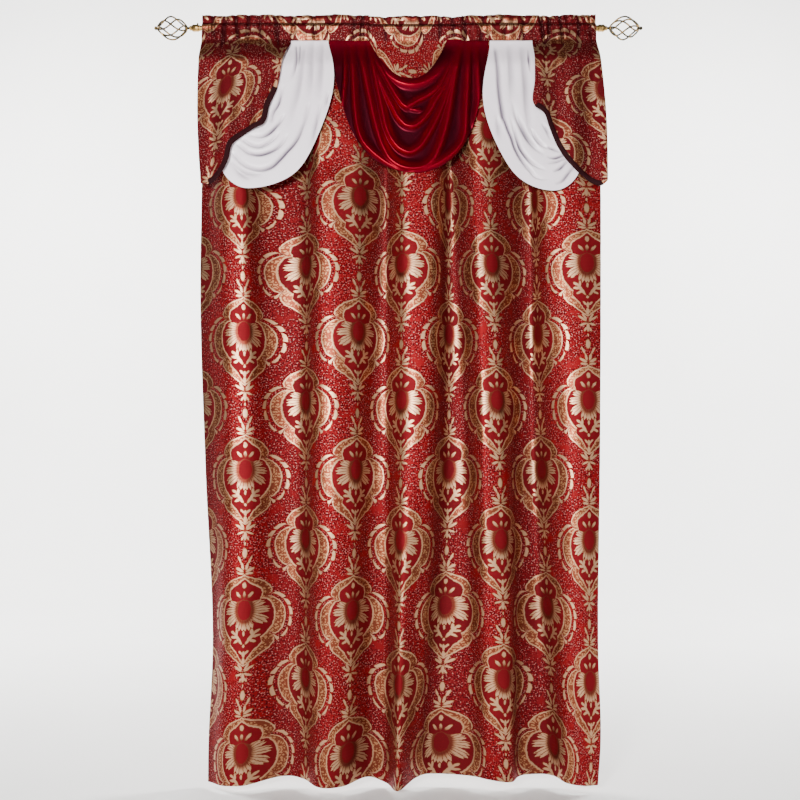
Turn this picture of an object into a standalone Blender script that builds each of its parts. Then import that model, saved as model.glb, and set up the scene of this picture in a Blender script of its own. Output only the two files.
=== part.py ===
"""Curtain panel with an attached swag and jabot valance, hung by its rod pocket on a rod with
twisted cage finials. Metres, +Z up, the front faces -Y, the origin is on the rod's axis at its middle."""

import math

import bmesh
import bpy
import numpy as np

MM = 0.001
TINY = 1e-12

# Rod
ROD_RADIUS = 6.5 * MM
ROD_WALL = 0.8 * MM
ROD_HALF = 581 * MM
ROUND_STEPS = 20

# Finials: places measured outwards from the rod's middle
COLLAR_START = 562 * MM
COLLAR_LENGTH = 30 * MM
COLLAR_BORE = ROD_RADIUS + 0.3 * MM
NECK_RADIUS = 3.4 * MM
NECK_GAP = 0.3 * MM
NECK_DEPTH = 6 * MM
CAGE_START = 598 * MM
CAGE_LENGTH = 87 * MM
CAGE_RADIUS = 33.5 * MM
CAGE_END_RADIUS = 3.5 * MM
WIRE_RADIUS = 1.9 * MM
WIRES = 6
WIRE_SIDES = 6
WIRE_STEPS = 10
WIRE_TWIST = math.radians(120)
TIP_RADIUS = 5.2 * MM
SCREW_PLACE = 570 * MM
SCREW_RADIUS = 2.6 * MM
SCREW_HEIGHT = 4 * MM

# Panel: cut 1400 mm wide, finished drop 2134 mm; all cloth hangs CLOTH_SHIFT right of the rod's middle
CLOTH_SHIFT = 4.7 * MM
CLOTH = 1.2 * MM
LAYER_GAP = 0.5 * MM
HEADER_TOP = 33 * MM
HEADER_STITCH = 11 * MM
POCKET_SEAM = -39 * MM
POCKET_RADIUS = ROD_RADIUS + 0.9 * MM + CLOTH / 2
HEADER_LEFT = -560 * MM
HEADER_RIGHT = 555 * MM
GATHER_DEPTH = 2 * MM
GATHER_PITCH = 47 * MM
GATHER_DRIFT = 90 * MM
COLUMN_PITCH = 31 * MM
POCKET_OFFSET = -1 * MM
UNDER_VALANCE = -15 * MM
FOLDS_SPREAD = 160 * MM
FOLDS_RISE = 400 * MM

# Fold lines from the left edge to the right one: place on the flat cloth, then x and y at the
# valance's lower edge, at half height and at the hem, and how far the hem is drawn up there (mm)
FOLDS = (
    # flat, x top, x mid, x hem, y top, y mid, y hem, hem lift
    (0, -562, -545, -527, 30, 40, 30, -5),
    (120, -473, -456, -454, -14, -25, -30, 0),
    (168, -433, -409, -413, -10, -20, -28, 2),
    (222, -402, -360, -334, 26, 12, 20, 11),
    (314, -273, -268, -264, 30, 18, 15, 7),
    (389, -228, -224, -223, -16, -45, -42, 2),
    (489, -121, -127, -152, -12, -40, -38, 3),
    (564, -56, -77, -79, 34, 14, 25, 9),
    (602, -39, -41, -41, 36, 16, 25, -5),
    (678, 11, 6, -5, -14, -38, -60, -3),
    (751, 93, 75, 43, -12, -35, 10, 11),
    (846, 138, 136, 109, 42, 35, 40, 14),
    (900, 160, 185, 190, 36, 30, 22, 13),
    (976, 214, 232, 242, -10, -30, -20, 14),
    (1022, 253, 277, 291, -10, -28, -20, 8),
    (1122, 346, 343, 348, 44, 42, 28, 14),
    (1149, 366, 368, 389, 44, 45, 30, 15),
    (1253, 405, 431, 451, 0, -20, -25, 7),
    (1326, 478, 484, 489, -16, -42, -38, 3),
    (1400, 562, 548, 530, -14, -38, -36, 5),
)
FOLD_LEVELS = (-450, -1250, -2100)
PANEL_ROWS = (-2100, -1850, -1600, -1350, -1100, -850, -650, -450, -330, -230, -150, -90, -56)

# Outline of the panel's two edges: height, left x, right x (mm)
EDGES = (
    (-56, -560, 559),
    (-450, -563, 562),
    (-760, -564, 557),
    (-1250, -545, 546),
    (-1750, -519, 536),
    (-2000, -527, 539),
    (-2100, -527, 531),
)

# Valance halves: heading band and jabot in one cloth. Edge of the jabot from its outer lower corner
# to the inner top corner (x, z in mm); BOUND is the first and the last edge point that is bound.
SEAM_OUT = 5.3 * MM
JABOT_OUT = 41 * MM
BAND_STEP = 3.4 * MM
BAND_GATHER = 1.31
JABOT_LEFT = (
    (-553, -458),
    (-532, -458),
    (-498, -430),
    (-479, -396),
    (-465, -345),
    (-447, -328),
    (-413, -306),
    (-380, -289),
    (-365, -238),
    (-343, -185),
    (-325, -93),
    (-309, -49),
)
JABOT_RIGHT = (
    (576, -450),
    (564, -461),
    (506, -436),
    (466, -396),
    (443, -359),
    (415, -294),
    (402, -260),
    (375, -238),
    (376, -162),
    (376, -99),
    (374, -50),
)
JABOT_SWELL = 8 * MM
JABOT_PLEAT = 5 * MM
JABOT_PLEAT_PITCH = 92 * MM
JABOT_PLEAT_RISE = 260 * MM
BOUND_LEFT = (1, 9)
BOUND_RIGHT = (1, 7)
BINDING_WIDTH = 13 * MM
BINDING_GAP = 0.3 * MM
JABOT_ROWS = 8
ROWS_CROWD = 1.4
EDGE_DROP = 1.5 * MM
BAND_LEFT = (-560, -88)
BAND_RIGHT = (554, 174)
BAND_PITCH = 22 * MM
# Heading band from its top edge down to the seam: clearance over the panel's pocket and header,
# height, share of the gather (mm, mm, one)
BAND_SECTION = (
    (2.0, 33, 1.0),
    (2.0, 22, 0.8),
    (0.8, 11, 0.0),
    (1.0, 5.8, 0.5),
    (0.9, 0, 0.6),
    (1.4, -5.8, 0.6),
    (2.4, -24, 0.4),
)

# Swags: rows of (place from the upper to the lower rim, how far the fold stands out in mm)
SATIN = 1.0 * MM
SWAG_TUCK = -34 * MM
SWAG_BACK = 3.2 * MM
SWAG_RISE = 75 * MM
SWAG_LAG = 11 * MM
RED_PLEATS = (
    (0.0, 3),
    (0.06, 9),
    (0.12, 1),
    (0.2, 10),
    (0.27, 2),
    (0.35, 9),
    (0.41, 1),
    (0.49, 10),
    (0.56, 3),
    (0.63, 9),
    (0.69, 2),
    (0.77, 9),
    (0.83, 2),
    (0.9, 7),
    (0.95, 2),
    (1.0, 4),
)
WHITE_PLEATS = (
    (0.0, 2),
    (0.12, 7),
    (0.22, 1),
    (0.36, 8),
    (0.47, 2),
    (0.6, 8),
    (0.7, 1),
    (0.82, 7),
    (0.91, 1),
    (1.0, 5),
)
SWAG_COLUMNS = 22
# Steepness of the folds' sides by place from the upper to the lower rim: nearly V-shaped in the middle
RED_STEEP = ((0.0, 2.3), (0.15, 1.8), (0.35, 1.6), (0.6, 1.8), (0.8, 2.6))
WHITE_STEEP = ((0.0, 2.3), (0.3, 3.2), (0.6, 4.2), (0.8, 5.2))
# Each swag: x of the upper and the lower rim at its left and right end, drop of both rims, place of
# the lowest point, the lower rim's steepness at the left and right side and its share of a plain round
# arc, its side's swell with how slowly it comes and goes downwards, how far it stands out, how much its
# ends lie back, and its pleats.
# Lengths are in mm.
SWAGS = {
    "swag_red": dict(
        left=(-88, -200.5), right=(133, 252), drop=(119, 389), low=0.54, steep=(6.0, 7.0), arc=0.43,
        inner=RED_STEEP, swell=(0, 1, 1), out=24, ends=0.8, pleats=RED_PLEATS,
    ),
    "swag_white_left": dict(
        left=(-430, -538), right=(-312, -205), drop=(70, 434), low=0.34, steep=(8.0, 8.0), arc=0.25,
        inner=WHITE_STEEP, swell=(31, 1.5, 3.0), out=20, ends=0.0, pleats=WHITE_PLEATS,
    ),
    "swag_white_right": dict(
        left=(386, 256), right=(450, 540), drop=(80, 441), low=0.61, steep=(8.0, 8.0), arc=0.25,
        inner=WHITE_STEEP, swell=(-36, 2.0, 2.6), out=20, ends=0.0, pleats=WHITE_PLEATS,
    ),
}

# Colours (linear red, green, blue), roughness and metallic value of each material
FINISHES = {
    "red_jacquard": ((0.42, 0.02, 0.02), 0.75, 0.0),
    "dark_binding": ((0.05, 0.003, 0.01), 0.7, 0.0),
    "white_satin": ((0.85, 0.80, 0.84), 0.35, 0.0),
    "burgundy_satin": ((0.22, 0.004, 0.01), 0.3, 0.0),
    "antique_brass": ((0.16, 0.12, 0.06), 0.4, 1.0),
}


def finish(name):
    """The material of that name, made once."""
    material = bpy.data.materials.get(name)
    if material:
        return material
    colour, roughness, metallic = FINISHES[name]
    material = bpy.data.materials.new(name)
    material.use_nodes = True
    shader = material.node_tree.nodes["Principled BSDF"]
    shader.inputs["Base Color"].default_value = (*colour, 1.0)
    shader.inputs["Roughness"].default_value = roughness
    shader.inputs["Metallic"].default_value = metallic
    return material


def piece(name, mesh, material, round_shape=False):
    """An object from a bmesh, closed and with its faces out."""
    bmesh.ops.remove_doubles(mesh, verts=mesh.verts, dist=0.01 * MM)
    bmesh.ops.recalc_face_normals(mesh, faces=mesh.faces)
    data = bpy.data.meshes.new(name)
    mesh.to_mesh(data)
    mesh.free()
    data.materials.append(finish(material))
    if round_shape:
        data.shade_smooth()
        data.set_sharp_from_angle(angle=math.radians(40))
    thing = bpy.data.objects.new(name, data)
    bpy.context.scene.collection.objects.link(thing)
    return thing


def ease(value):
    """Smooth step from 0 to 1."""
    value = np.clip(value, 0.0, 1.0)
    return value * value * (3 - 2 * value)


def through(keys, values, at):
    """Smooth curve through a table's column: cubic pieces whose slopes are the neighbours' mean."""
    keys, values = np.asarray(keys, float), np.asarray(values, float)
    at = np.asarray(at, float)
    slope = np.gradient(values, keys)
    first = np.clip(np.searchsorted(keys, at, side="right") - 1, 0, len(keys) - 2)
    span = keys[first + 1] - keys[first]
    t = np.clip((at - keys[first]) / span, 0, 1)
    start, end = values[first], values[first + 1]
    rise = start + (end - start) * t * t * (3 - 2 * t)
    lean = slope[first] * t * (1 - t) ** 2 - slope[first + 1] * t * t * (1 - t)
    return rise + lean * span


def grid_normals(grid, shown):
    """Unit normals at a grid's points, averaged from the cells that are part of the cloth."""
    total = np.zeros_like(grid)
    for i, j in zip(*np.nonzero(shown)):
        normal = np.cross(grid[i + 1, j] - grid[i, j + 1], grid[i + 1, j + 1] - grid[i, j])
        normal /= max(np.linalg.norm(normal), TINY)
        for corner in ((i, j), (i + 1, j), (i + 1, j + 1), (i, j + 1)):
            total[corner] += normal
    return total / np.maximum(np.linalg.norm(total, axis=2, keepdims=True), TINY)


def sheet_solid(name, grid, material, thickness=CLOTH, shown=None):
    """A closed cloth from a grid of its middle surface, rows downwards and columns to the right.

    Only the cells in shown are built. Both skins are cut along the same diagonals, so they stay
    parallel where a cell is twisted.
    """
    grid = np.asarray(grid, float) + np.array((CLOTH_SHIFT, 0, 0))
    if shown is None:
        shown = np.ones((grid.shape[0] - 1, grid.shape[1] - 1), bool)
    out = grid_normals(grid, shown) * thickness / 2
    mesh = bmesh.new()
    front, back = {}, {}
    rim = {}
    for i, j in zip(*np.nonzero(shown)):
        cell = ((i, j), (i + 1, j), (i + 1, j + 1), (i, j + 1))
        for place in cell:
            if place not in front:
                front[place] = mesh.verts.new(grid[place] + out[place])
                back[place] = mesh.verts.new(grid[place] - out[place])
        for corners in (cell[:3], (cell[0], cell[2], cell[3])):
            mesh.faces.new([front[place] for place in corners])
            mesh.faces.new([back[place] for place in reversed(corners)])
        for a, b in zip(cell, cell[1:] + cell[:1]):
            if rim.pop((b, a), None) is None:
                rim[a, b] = True
    for a, b in rim:
        mesh.faces.new((front[a], front[b], back[b]))
        mesh.faces.new((front[a], back[b], back[a]))
    return piece(name, mesh, material)


def turned(name, outline, material, mirror=1, ring=False, steps=ROUND_STEPS):
    """A solid turned about X from (x, radius) points; a ring's outline closes on itself."""
    mesh = bmesh.new()
    points = [mesh.verts.new((mirror * x, 0, radius)) for x, radius in outline]
    pairs = list(zip(points, points[1:]))
    if ring:
        pairs.append((points[-1], points[0]))
    edges = [mesh.edges.new(pair) for pair in pairs]
    bmesh.ops.spin(
        mesh, geom=points + edges, cent=(0, 0, 0), axis=(1, 0, 0), angle=2 * math.pi,
        steps=steps, use_merge=True,
    )
    return piece(name, mesh, material, round_shape=True)


def make_rod():
    """The rod: a plain tube, open at both ends, which the collars sleeve."""
    inner = ROD_RADIUS - ROD_WALL
    outline = ((-ROD_HALF, inner), (-ROD_HALF, ROD_RADIUS), (ROD_HALF, ROD_RADIUS), (ROD_HALF, inner))
    return turned("rod", outline, "antique_brass", ring=True)


def make_collar(name, side):
    """A turned sleeve: a cylinder at the rod, then a bead, an urn-shaped swell and a neck bore."""
    start, end = COLLAR_START, COLLAR_START + COLLAR_LENGTH
    outline = (
        (start, COLLAR_BORE),
        (start, 8.6 * MM),
        (start + 3 * MM, 8.6 * MM),
        (start + 4 * MM, 7.8 * MM),
        (start + 5.5 * MM, 10.2 * MM),
        (start + 13 * MM, 10.2 * MM),
        (start + 15 * MM, 9.4 * MM),
        (start + 18 * MM, 10.8 * MM),
        (start + 22 * MM, 9.2 * MM),
        (start + 25 * MM, 6.6 * MM),
        (end, 6.2 * MM),
        (end, NECK_RADIUS + NECK_GAP),
        (ROD_HALF + 0.6 * MM, NECK_RADIUS + NECK_GAP),
        (ROD_HALF + 0.6 * MM, COLLAR_BORE),
    )
    return turned(name, outline, "antique_brass", mirror=side, ring=True)


def wire_mesh(number, side):
    """One cage wire: a round bar that bulges out and winds as it runs from the neck to the tip."""
    mesh = bmesh.new()
    rings = []
    for step in range(WIRE_STEPS + 1):
        along = step / WIRE_STEPS
        bulge = math.sin(math.pi * along) ** 0.8
        radius = CAGE_END_RADIUS + (CAGE_RADIUS - WIRE_RADIUS - CAGE_END_RADIUS) * bulge
        turn = 2 * math.pi * number / WIRES + side * WIRE_TWIST * along
        x = side * (CAGE_START + 2 * MM + (CAGE_LENGTH - 4 * MM) * along)
        rings.append(np.array((x, radius * math.cos(turn), radius * math.sin(turn))))
    path = np.array(rings)
    run = np.gradient(path, axis=0)
    run /= np.linalg.norm(run, axis=1, keepdims=True)
    loops = []
    for point, ahead in zip(path, run):
        away = np.cross(ahead, (1.0, 0.0, 0.0))
        if np.linalg.norm(away) < 0.05:
            away = np.cross(ahead, (0.0, 0.0, 1.0))
        away /= np.linalg.norm(away)
        across = np.cross(ahead, away)
        loops.append([
            mesh.verts.new(point + WIRE_RADIUS * (math.cos(a) * away + math.sin(a) * across))
            for a in (2 * math.pi * k / WIRE_SIDES for k in range(WIRE_SIDES))
        ])
    for near, far in zip(loops, loops[1:]):
        for k in range(WIRE_SIDES):
            after = (k + 1) % WIRE_SIDES
            mesh.faces.new((near[k], near[after], far[after], far[k]))
    mesh.faces.new(loops[0][::-1])
    mesh.faces.new(loops[-1])
    return mesh


def make_cage(name, side):
    """Neck and tip ball joined by six winding wires, fused into one body."""
    start, end = CAGE_START, CAGE_START + CAGE_LENGTH
    inside = COLLAR_START + COLLAR_LENGTH - NECK_DEPTH
    neck = turned(
        name,
        (
            (inside, 0),
            (inside, NECK_RADIUS),
            (start, NECK_RADIUS),
            (start + 1.5 * MM, 6.4 * MM),
            (start + 5 * MM, 6.4 * MM),
            (start + 8 * MM, 2.5 * MM),
            (start + 8 * MM, 0),
        ),
        "antique_brass", mirror=side, steps=16,
    )
    tip_centre = end + 3.5 * MM
    ball = [
        (tip_centre - TIP_RADIUS * math.cos(a), TIP_RADIUS * math.sin(a))
        for a in (math.radians(40 + 28 * k) for k in range(5))
    ]
    tip = turned(
        name + "_tip",
        (
            (end - 8 * MM, 0),
            (end - 8 * MM, 2.5 * MM),
            (end - 5 * MM, 6.4 * MM),
            (end - 1.5 * MM, 6.4 * MM),
            *ball,
            (tip_centre + TIP_RADIUS, 0),
        ),
        "antique_brass", mirror=side, steps=16,
    )
    parts = [tip]
    for number in range(WIRES):
        parts.append(piece(f"{name}_wire_{number}", wire_mesh(number, side), "antique_brass"))
    for part in parts:
        part.hide_render = True
        part.display_type = "WIRE"
        join = neck.modifiers.new("join " + part.name, "BOOLEAN")
        join.operation = "UNION"
        join.object = part
    return neck


def make_set_screw():
    """The thumb screw that stands on top of the left collar."""
    mesh = bmesh.new()
    bmesh.ops.create_cone(
        mesh, cap_ends=True, segments=12, radius1=SCREW_RADIUS, radius2=SCREW_RADIUS * 0.85,
        depth=SCREW_HEIGHT,
    )
    bottom = 10.2 * MM + 0.3 * MM
    bmesh.ops.translate(mesh, verts=mesh.verts, vec=(-SCREW_PLACE, 0, bottom + SCREW_HEIGHT / 2))
    return piece("set_screw", mesh, "antique_brass", round_shape=True)


def panel_columns():
    """Places on the flat cloth where the panel's columns run: every fold line and points between."""
    flats = [row[0] * MM for row in FOLDS]
    places = [flats[0]]
    for start, end in zip(flats, flats[1:]):
        count = max(1, round((end - start) / COLUMN_PITCH))
        places += [start + (end - start) * k / count for k in range(1, count + 1)]
    return np.array(places)


def header_gather(x):
    """How far the gathered header stands out at x, from 0 up."""
    drift = 1.5 * np.sin(x / GATHER_DRIFT)
    return GATHER_DEPTH * (0.5 + 0.5 * np.sin(2 * math.pi * x / GATHER_PITCH + drift))


def fold_row(places, height):
    """One level row of the hanging panel below the pocket."""
    table = np.array(FOLDS, float) * MM
    levels = np.array(FOLD_LEVELS[::-1], float) * MM
    flat = table[:, 0]
    share = np.clip(height, levels[0], levels[-1])
    x_keys = np.array([through(levels, row[[3, 2, 1]], share) for row in table])
    y_keys = np.array([through(levels, row[[6, 5, 4]], share) for row in table])
    edges = np.array(EDGES[::-1], float) * MM
    x_keys[0] = through(edges[:, 0], edges[:, 1], height)
    x_keys[-1] = through(edges[:, 0], edges[:, 2], height)
    x = through(flat, x_keys, places)
    y = through(flat, y_keys, places)
    lift = through(flat, table[:, 7], places) * ease((-1250 * MM - height) / (850 * MM))
    return x, y, height + lift


def pocket_section():
    """The pocket and header from the seam up the front, over the fold and down the back: y, z, row by
    row, with how much of the header's gather each row takes."""
    pinch = LAYER_GAP / 2 + CLOTH / 2
    side = POCKET_RADIUS * math.sin(math.radians(45))
    front = (
        (-pinch, POCKET_SEAM, 0.0),
        (-pinch - 2.0 * MM, -24 * MM, 0.3),
        (-side, -side, 0.4),
        (-POCKET_RADIUS, 0.0, 0.4),
        (-side, side, 0.3),
        (-pinch, HEADER_STITCH, 0.0),
        (-pinch - 0.4 * MM, 21 * MM, 0.7),
        (-pinch - 0.2 * MM, HEADER_TOP - 2.2 * MM, 1.0),
    )
    top = ((0.0, HEADER_TOP - CLOTH / 2, 1.0),)
    back = tuple((-y, z, share) for y, z, share in reversed(front))
    return front + top + back


def header_y(y, share, x):
    """The header's front stands out with the gathers; the back follows above the stitches only."""
    above_stitch = share > 0.5
    return y - header_gather(x) * share * ((y < 0) | above_stitch)


def make_panel():
    """The panel: hem, folds, rod pocket and header as one cloth."""
    places = panel_columns()
    flat_width = places[-1]
    header_x = HEADER_LEFT + (HEADER_RIGHT - HEADER_LEFT) * places / flat_width
    rows = []
    for height in PANEL_ROWS:
        x, y, z = fold_row(places, height * MM)
        below = POCKET_SEAM - height * MM
        x = header_x + (x - header_x) * ease(below / FOLDS_SPREAD)
        y = POCKET_OFFSET + (y - POCKET_OFFSET) * ease(below / FOLDS_RISE)
        if height > FOLD_LEVELS[0]:
            y = np.maximum(y, POCKET_OFFSET + (UNDER_VALANCE - POCKET_OFFSET) * ease(below / FOLDS_SPREAD))
        rows.append(np.stack((x, y, np.broadcast_to(z, x.shape)), axis=1))
    for y, z, share in pocket_section():
        row_y = header_y(y, share, header_x)
        rows.append(np.stack((header_x, row_y, np.full_like(header_x, z)), axis=1))
    sheet_solid("panel", rows[::-1], "red_jacquard")


def stand_out(height, near, far):
    """Distance in front of the rod's plane of a layer that leaves the seam and stands out below it."""
    return near + (far - near) * ease((SWAG_TUCK - height) / SWAG_RISE)


def jabot_y(x, z):
    """The jabot hangs in front of its swag in two or three soft pleats that open downwards."""
    deep = JABOT_PLEAT * ease((POCKET_SEAM - z) / JABOT_PLEAT_RISE)
    return -stand_out(z, SEAM_OUT, JABOT_OUT) - deep * np.sin(2 * math.pi * np.abs(x) / JABOT_PLEAT_PITCH)


def band_rows(x):
    """The heading band over the panel's header: rows of y and z down to the seam."""
    wave = header_gather(x * BAND_GATHER)
    rows = []
    for clear, z, share in BAND_SECTION:
        flat = LAYER_GAP / 2 + CLOTH / 2
        round_pocket = math.sqrt(max(POCKET_RADIUS ** 2 - (z * MM) ** 2, 0))
        out = max(flat, round_pocket) + BAND_STEP + clear * MM
        rows.append((-(out + wave * share), z * MM))
    return rows


def along_edge(edge):
    """The jabot's edge points in metres and the unit direction from the edge into the cloth."""
    points = np.array(edge, float) * MM
    run = np.gradient(points, axis=0)
    run /= np.linalg.norm(run, axis=1, keepdims=True)
    inward = np.stack((-run[:, 1], run[:, 0]), axis=1)
    inward *= np.where(inward[:, 1:] < 0, -1, 1)
    return points, inward


def walked_share(points):
    """How far along a line of points each one lies, from 0 to 1."""
    walked = np.cumsum(np.linalg.norm(np.diff(points, axis=0), axis=1))
    return np.concatenate(((0,), walked / walked[-1]))


def jabot_rows(seam, points, inward, swell):
    """Rows of the jabot from below the seam to its edge; the last two rows bound the turned-in edge."""
    turn_in = points + inward * BINDING_WIDTH
    turn_in[:, 1] = np.minimum(turn_in[:, 1], POCKET_SEAM - EDGE_DROP)
    lower = []
    for step in range(1, JABOT_ROWS + 1):
        share = (step / JABOT_ROWS) ** ROWS_CROWD
        row = seam[:, [0, 2]] * (1 - share) + turn_in * share
        row[:, 0] += swell * math.sin(math.pi * share)
        lower.append(row)
    lower.append(points)
    return [np.stack((p[:, 0], jabot_y(p[:, 0], p[:, 1]), p[:, 1]), axis=1) for p in lower]


def make_valance(side_name, band, edge, bound):
    """One valance half, band and jabot in one cloth, and the binding on the jabot's slanted edge."""
    outer, inner = (value * MM for value in band)
    points, inward = along_edge(edge)
    wide = len(points)
    count = round(abs(inner - points[-1, 0]) / BAND_PITCH)
    beyond = points[-1, 0] + (inner - points[-1, 0]) * np.arange(1, count + 1) / count
    reach = walked_share(points)
    seam_x = np.concatenate((outer + (points[-1, 0] - outer) * reach, beyond))
    rows = [np.stack((seam_x, y, np.full_like(seam_x, z)), axis=1) for y, z in band_rows(seam_x)]
    seam = np.stack((seam_x, np.full_like(seam_x, -SEAM_OUT), np.full_like(seam_x, POCKET_SEAM)), axis=1)
    swell = math.copysign(JABOT_SWELL, outer) * (1 - reach) ** 2
    jabot = jabot_rows(seam[:wide], points, inward, swell)
    rows += [seam] + [np.concatenate((row, seam[wide:])) for row in jabot]
    shown = np.ones((len(rows) - 1, len(seam_x) - 1), bool)
    shown[-len(jabot) :, wide - 1 :] = False
    sheet_solid("valance_" + side_name, rows, "red_jacquard", shown=shown)
    first, last = bound
    strip = np.array([row[first : last + 1] for row in jabot[-2:]])
    strip -= np.array((0.0, CLOTH + BINDING_GAP, 0.0))
    sheet_solid("binding_" + side_name, strip, "dark_binding")


def make_swag(name, left, right, drop, low, steep, arc, inner, swell, out, ends, pleats):
    """A swag: satin hung between two gathered ends, with its pleats as uneven U-shaped folds."""
    turn = np.linspace(0, math.pi, SWAG_COLUMNS)
    across = (1 - np.cos(turn)) / 2
    amount, rise, fall = swell
    most = (rise / (rise + fall)) ** rise * (fall / (rise + fall)) ** fall
    side = np.where((across < low) == (amount < 0), amount * MM / most, 0)
    rows = []
    for place, stand in pleats:
        start = (left[0] + (left[1] - left[0]) * place) * MM
        end = (right[0] + (right[1] - right[0]) * place) * MM
        rim_drop = (drop[0] + (drop[1] - drop[0]) * place) * MM
        end_way = np.where(across < low, (low - across) / low, (across - low) / (1 - low))
        power = np.where(across < low, *(
            through([row[0] for row in inner] + [1], [row[1] for row in inner] + [value], place)
            for value in steep
        ))
        round_share = arc * ease((place - 0.5) / 0.5)
        hang = 1 - round_share * end_way ** 2 - (1 - round_share) * end_way ** power
        x = start + (end - start) * across + side * place * hang ** rise * (1 - hang) ** fall
        z = SWAG_TUCK - rim_drop * hang
        reach = out * (1 - ends * end_way ** 3) + stand * ease(hang * 1.6)
        y = -stand_out(z + SWAG_LAG, SWAG_BACK, SWAG_BACK + reach * MM)
        rows.append(np.stack((x, y, z), axis=1))
    material = "burgundy_satin" if name == "swag_red" else "white_satin"
    sheet_solid(name, rows, material, SATIN)


def build():
    """Clears the scene and makes every piece in its place."""
    for thing in list(bpy.data.objects):
        bpy.data.objects.remove(thing, do_unlink=True)
    make_rod()
    for side_name, side in (("left", -1), ("right", 1)):
        make_collar("collar_" + side_name, side)
        make_cage("cage_" + side_name, side)
    make_set_screw()
    make_panel()
    make_valance("left", BAND_LEFT, JABOT_LEFT, BOUND_LEFT)
    make_valance("right", BAND_RIGHT, JABOT_RIGHT, BOUND_RIGHT)
    for name, shape in SWAGS.items():
        make_swag(name, **shape)


build()
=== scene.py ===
import math

import bpy
import numpy as np
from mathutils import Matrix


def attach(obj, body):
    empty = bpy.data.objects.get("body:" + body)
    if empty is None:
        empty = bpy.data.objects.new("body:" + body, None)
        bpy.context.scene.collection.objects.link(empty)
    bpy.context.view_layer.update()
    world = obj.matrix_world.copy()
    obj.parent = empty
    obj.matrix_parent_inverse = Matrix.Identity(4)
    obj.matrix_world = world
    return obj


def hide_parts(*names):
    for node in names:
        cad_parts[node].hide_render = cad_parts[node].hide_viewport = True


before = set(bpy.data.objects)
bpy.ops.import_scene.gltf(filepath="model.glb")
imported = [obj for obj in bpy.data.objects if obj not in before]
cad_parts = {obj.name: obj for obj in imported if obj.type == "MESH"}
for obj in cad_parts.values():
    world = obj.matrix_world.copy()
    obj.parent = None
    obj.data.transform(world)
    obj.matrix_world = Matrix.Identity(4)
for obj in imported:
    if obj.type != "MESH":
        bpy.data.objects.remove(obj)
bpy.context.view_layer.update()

bl_info = {
    "name": "Curtain panel with swag and jabot valance",
    "version": (1, 0, 0),
    "blender": (4, 5, 0),
    "location": "3D View > Sidebar > Curtain",
    "description": "Dresses the solids of a curtain panel, its valance and its rod",
    "category": "Object",
}

MM = 0.001
TINY = 1e-12

# Hung cloth: its middle lies this far right of the rod's middle
CLOTH_SHIFT = 4.7 * MM

# Panel, as in the part's source: fold lines from the left edge to the right one (mm)
FOLDS = (
    # flat, x top, x mid, x hem, y top, y mid, y hem, hem lift
    (0, -562, -545, -527, 30, 40, 30, -5),
    (120, -473, -456, -454, -14, -25, -30, 0),
    (168, -433, -409, -413, -10, -20, -28, 2),
    (222, -402, -360, -334, 26, 12, 20, 11),
    (314, -273, -268, -264, 30, 18, 15, 7),
    (389, -228, -224, -223, -16, -45, -42, 2),
    (489, -121, -127, -152, -12, -40, -38, 3),
    (564, -56, -77, -79, 34, 14, 25, 9),
    (602, -39, -41, -41, 36, 16, 25, -5),
    (678, 11, 6, -5, -14, -38, -60, -3),
    (751, 93, 75, 43, -12, -35, 10, 11),
    (846, 138, 136, 109, 42, 35, 40, 14),
    (900, 160, 185, 190, 36, 30, 22, 13),
    (976, 214, 232, 242, -10, -30, -20, 14),
    (1022, 253, 277, 291, -10, -28, -20, 8),
    (1122, 346, 343, 348, 44, 42, 28, 14),
    (1149, 366, 368, 389, 44, 45, 30, 15),
    (1253, 405, 431, 451, 0, -20, -25, 7),
    (1326, 478, 484, 489, -16, -42, -38, 3),
    (1400, 562, 548, 530, -14, -38, -36, 5),
)
# Heights of the three places of x and y above, and the panel's side edges (mm)
FOLD_LEVELS = (-450, -1250, -2100)
EDGES = (
    # height, left x, right x
    (-56, -560, 559),
    (-450, -563, 562),
    (-760, -564, 557),
    (-1250, -545, 546),
    (-1750, -519, 536),
    (-2000, -527, 539),
    (-2100, -527, 531),
)
HEM_LINE = -2100
PANEL_TOP_ROW = -52
HEADER_LEFT = -560 * MM
HEADER_RIGHT = 555 * MM
HEADER_TOP = 33 * MM
HEADER_STITCH = 11 * MM
POCKET_SEAM = -39 * MM
POCKET_RADIUS = 8.0 * MM
POCKET_OFFSET = -1 * MM
PINCH = 0.85 * MM
UNDER_VALANCE = -15 * MM
FOLDS_SPREAD = 160 * MM
FOLDS_RISE = 400 * MM
YOKE_END = -165 * MM
# Run over which the folds come free below the valance; where the hem starts to rise and fall with them
VALANCE_FREE = 60 * MM
HEM_WAVE_START, HEM_WAVE_RUN = -1250 * MM, 850 * MM
# Shade of the panel's deepest folds: how much, from which depth and how fast, and how soon below the seam
FOLD_SHADE, FOLD_SHADE_FROM, FOLD_SHADE_RUN, FOLD_SHADE_START = 0.42, -12 * MM, 50 * MM, 90 * MM

# Creases of the gathered header: x, half width, depth, lean downwards (mm)
CREASES = (
    (-530, 5, 1.5, 6), (-492, 7, 2.5, -8), (-466, 5, 3.0, 10), (-428, 6, 2.0, -4), (-398, 4, 1.5, 5),
    (-352, 6, 2.0, 6), (-300, 5, 3.0, -5), (-246, 6, 1.8, 8), (-196, 5, 1.5, -6), (-131, 6, 2.5, 4),
    (-105, 5, 3.0, -4), (-44, 7, 2.0, 4), (2, 5, 1.6, -3), (58, 6, 2.4, 5), (116, 5, 3.0, -4),
    (150, 6, 2.6, 6), (181, 5, 3.2, 4), (236, 6, 2.0, -6), (292, 5, 1.8, 5), (352, 6, 2.0, -4),
    (398, 5, 3.4, 8), (424, 5, 3.0, -6), (452, 4, 2.6, 8), (508, 6, 2.0, -5), (538, 4, 1.4, 4),
)
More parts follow.
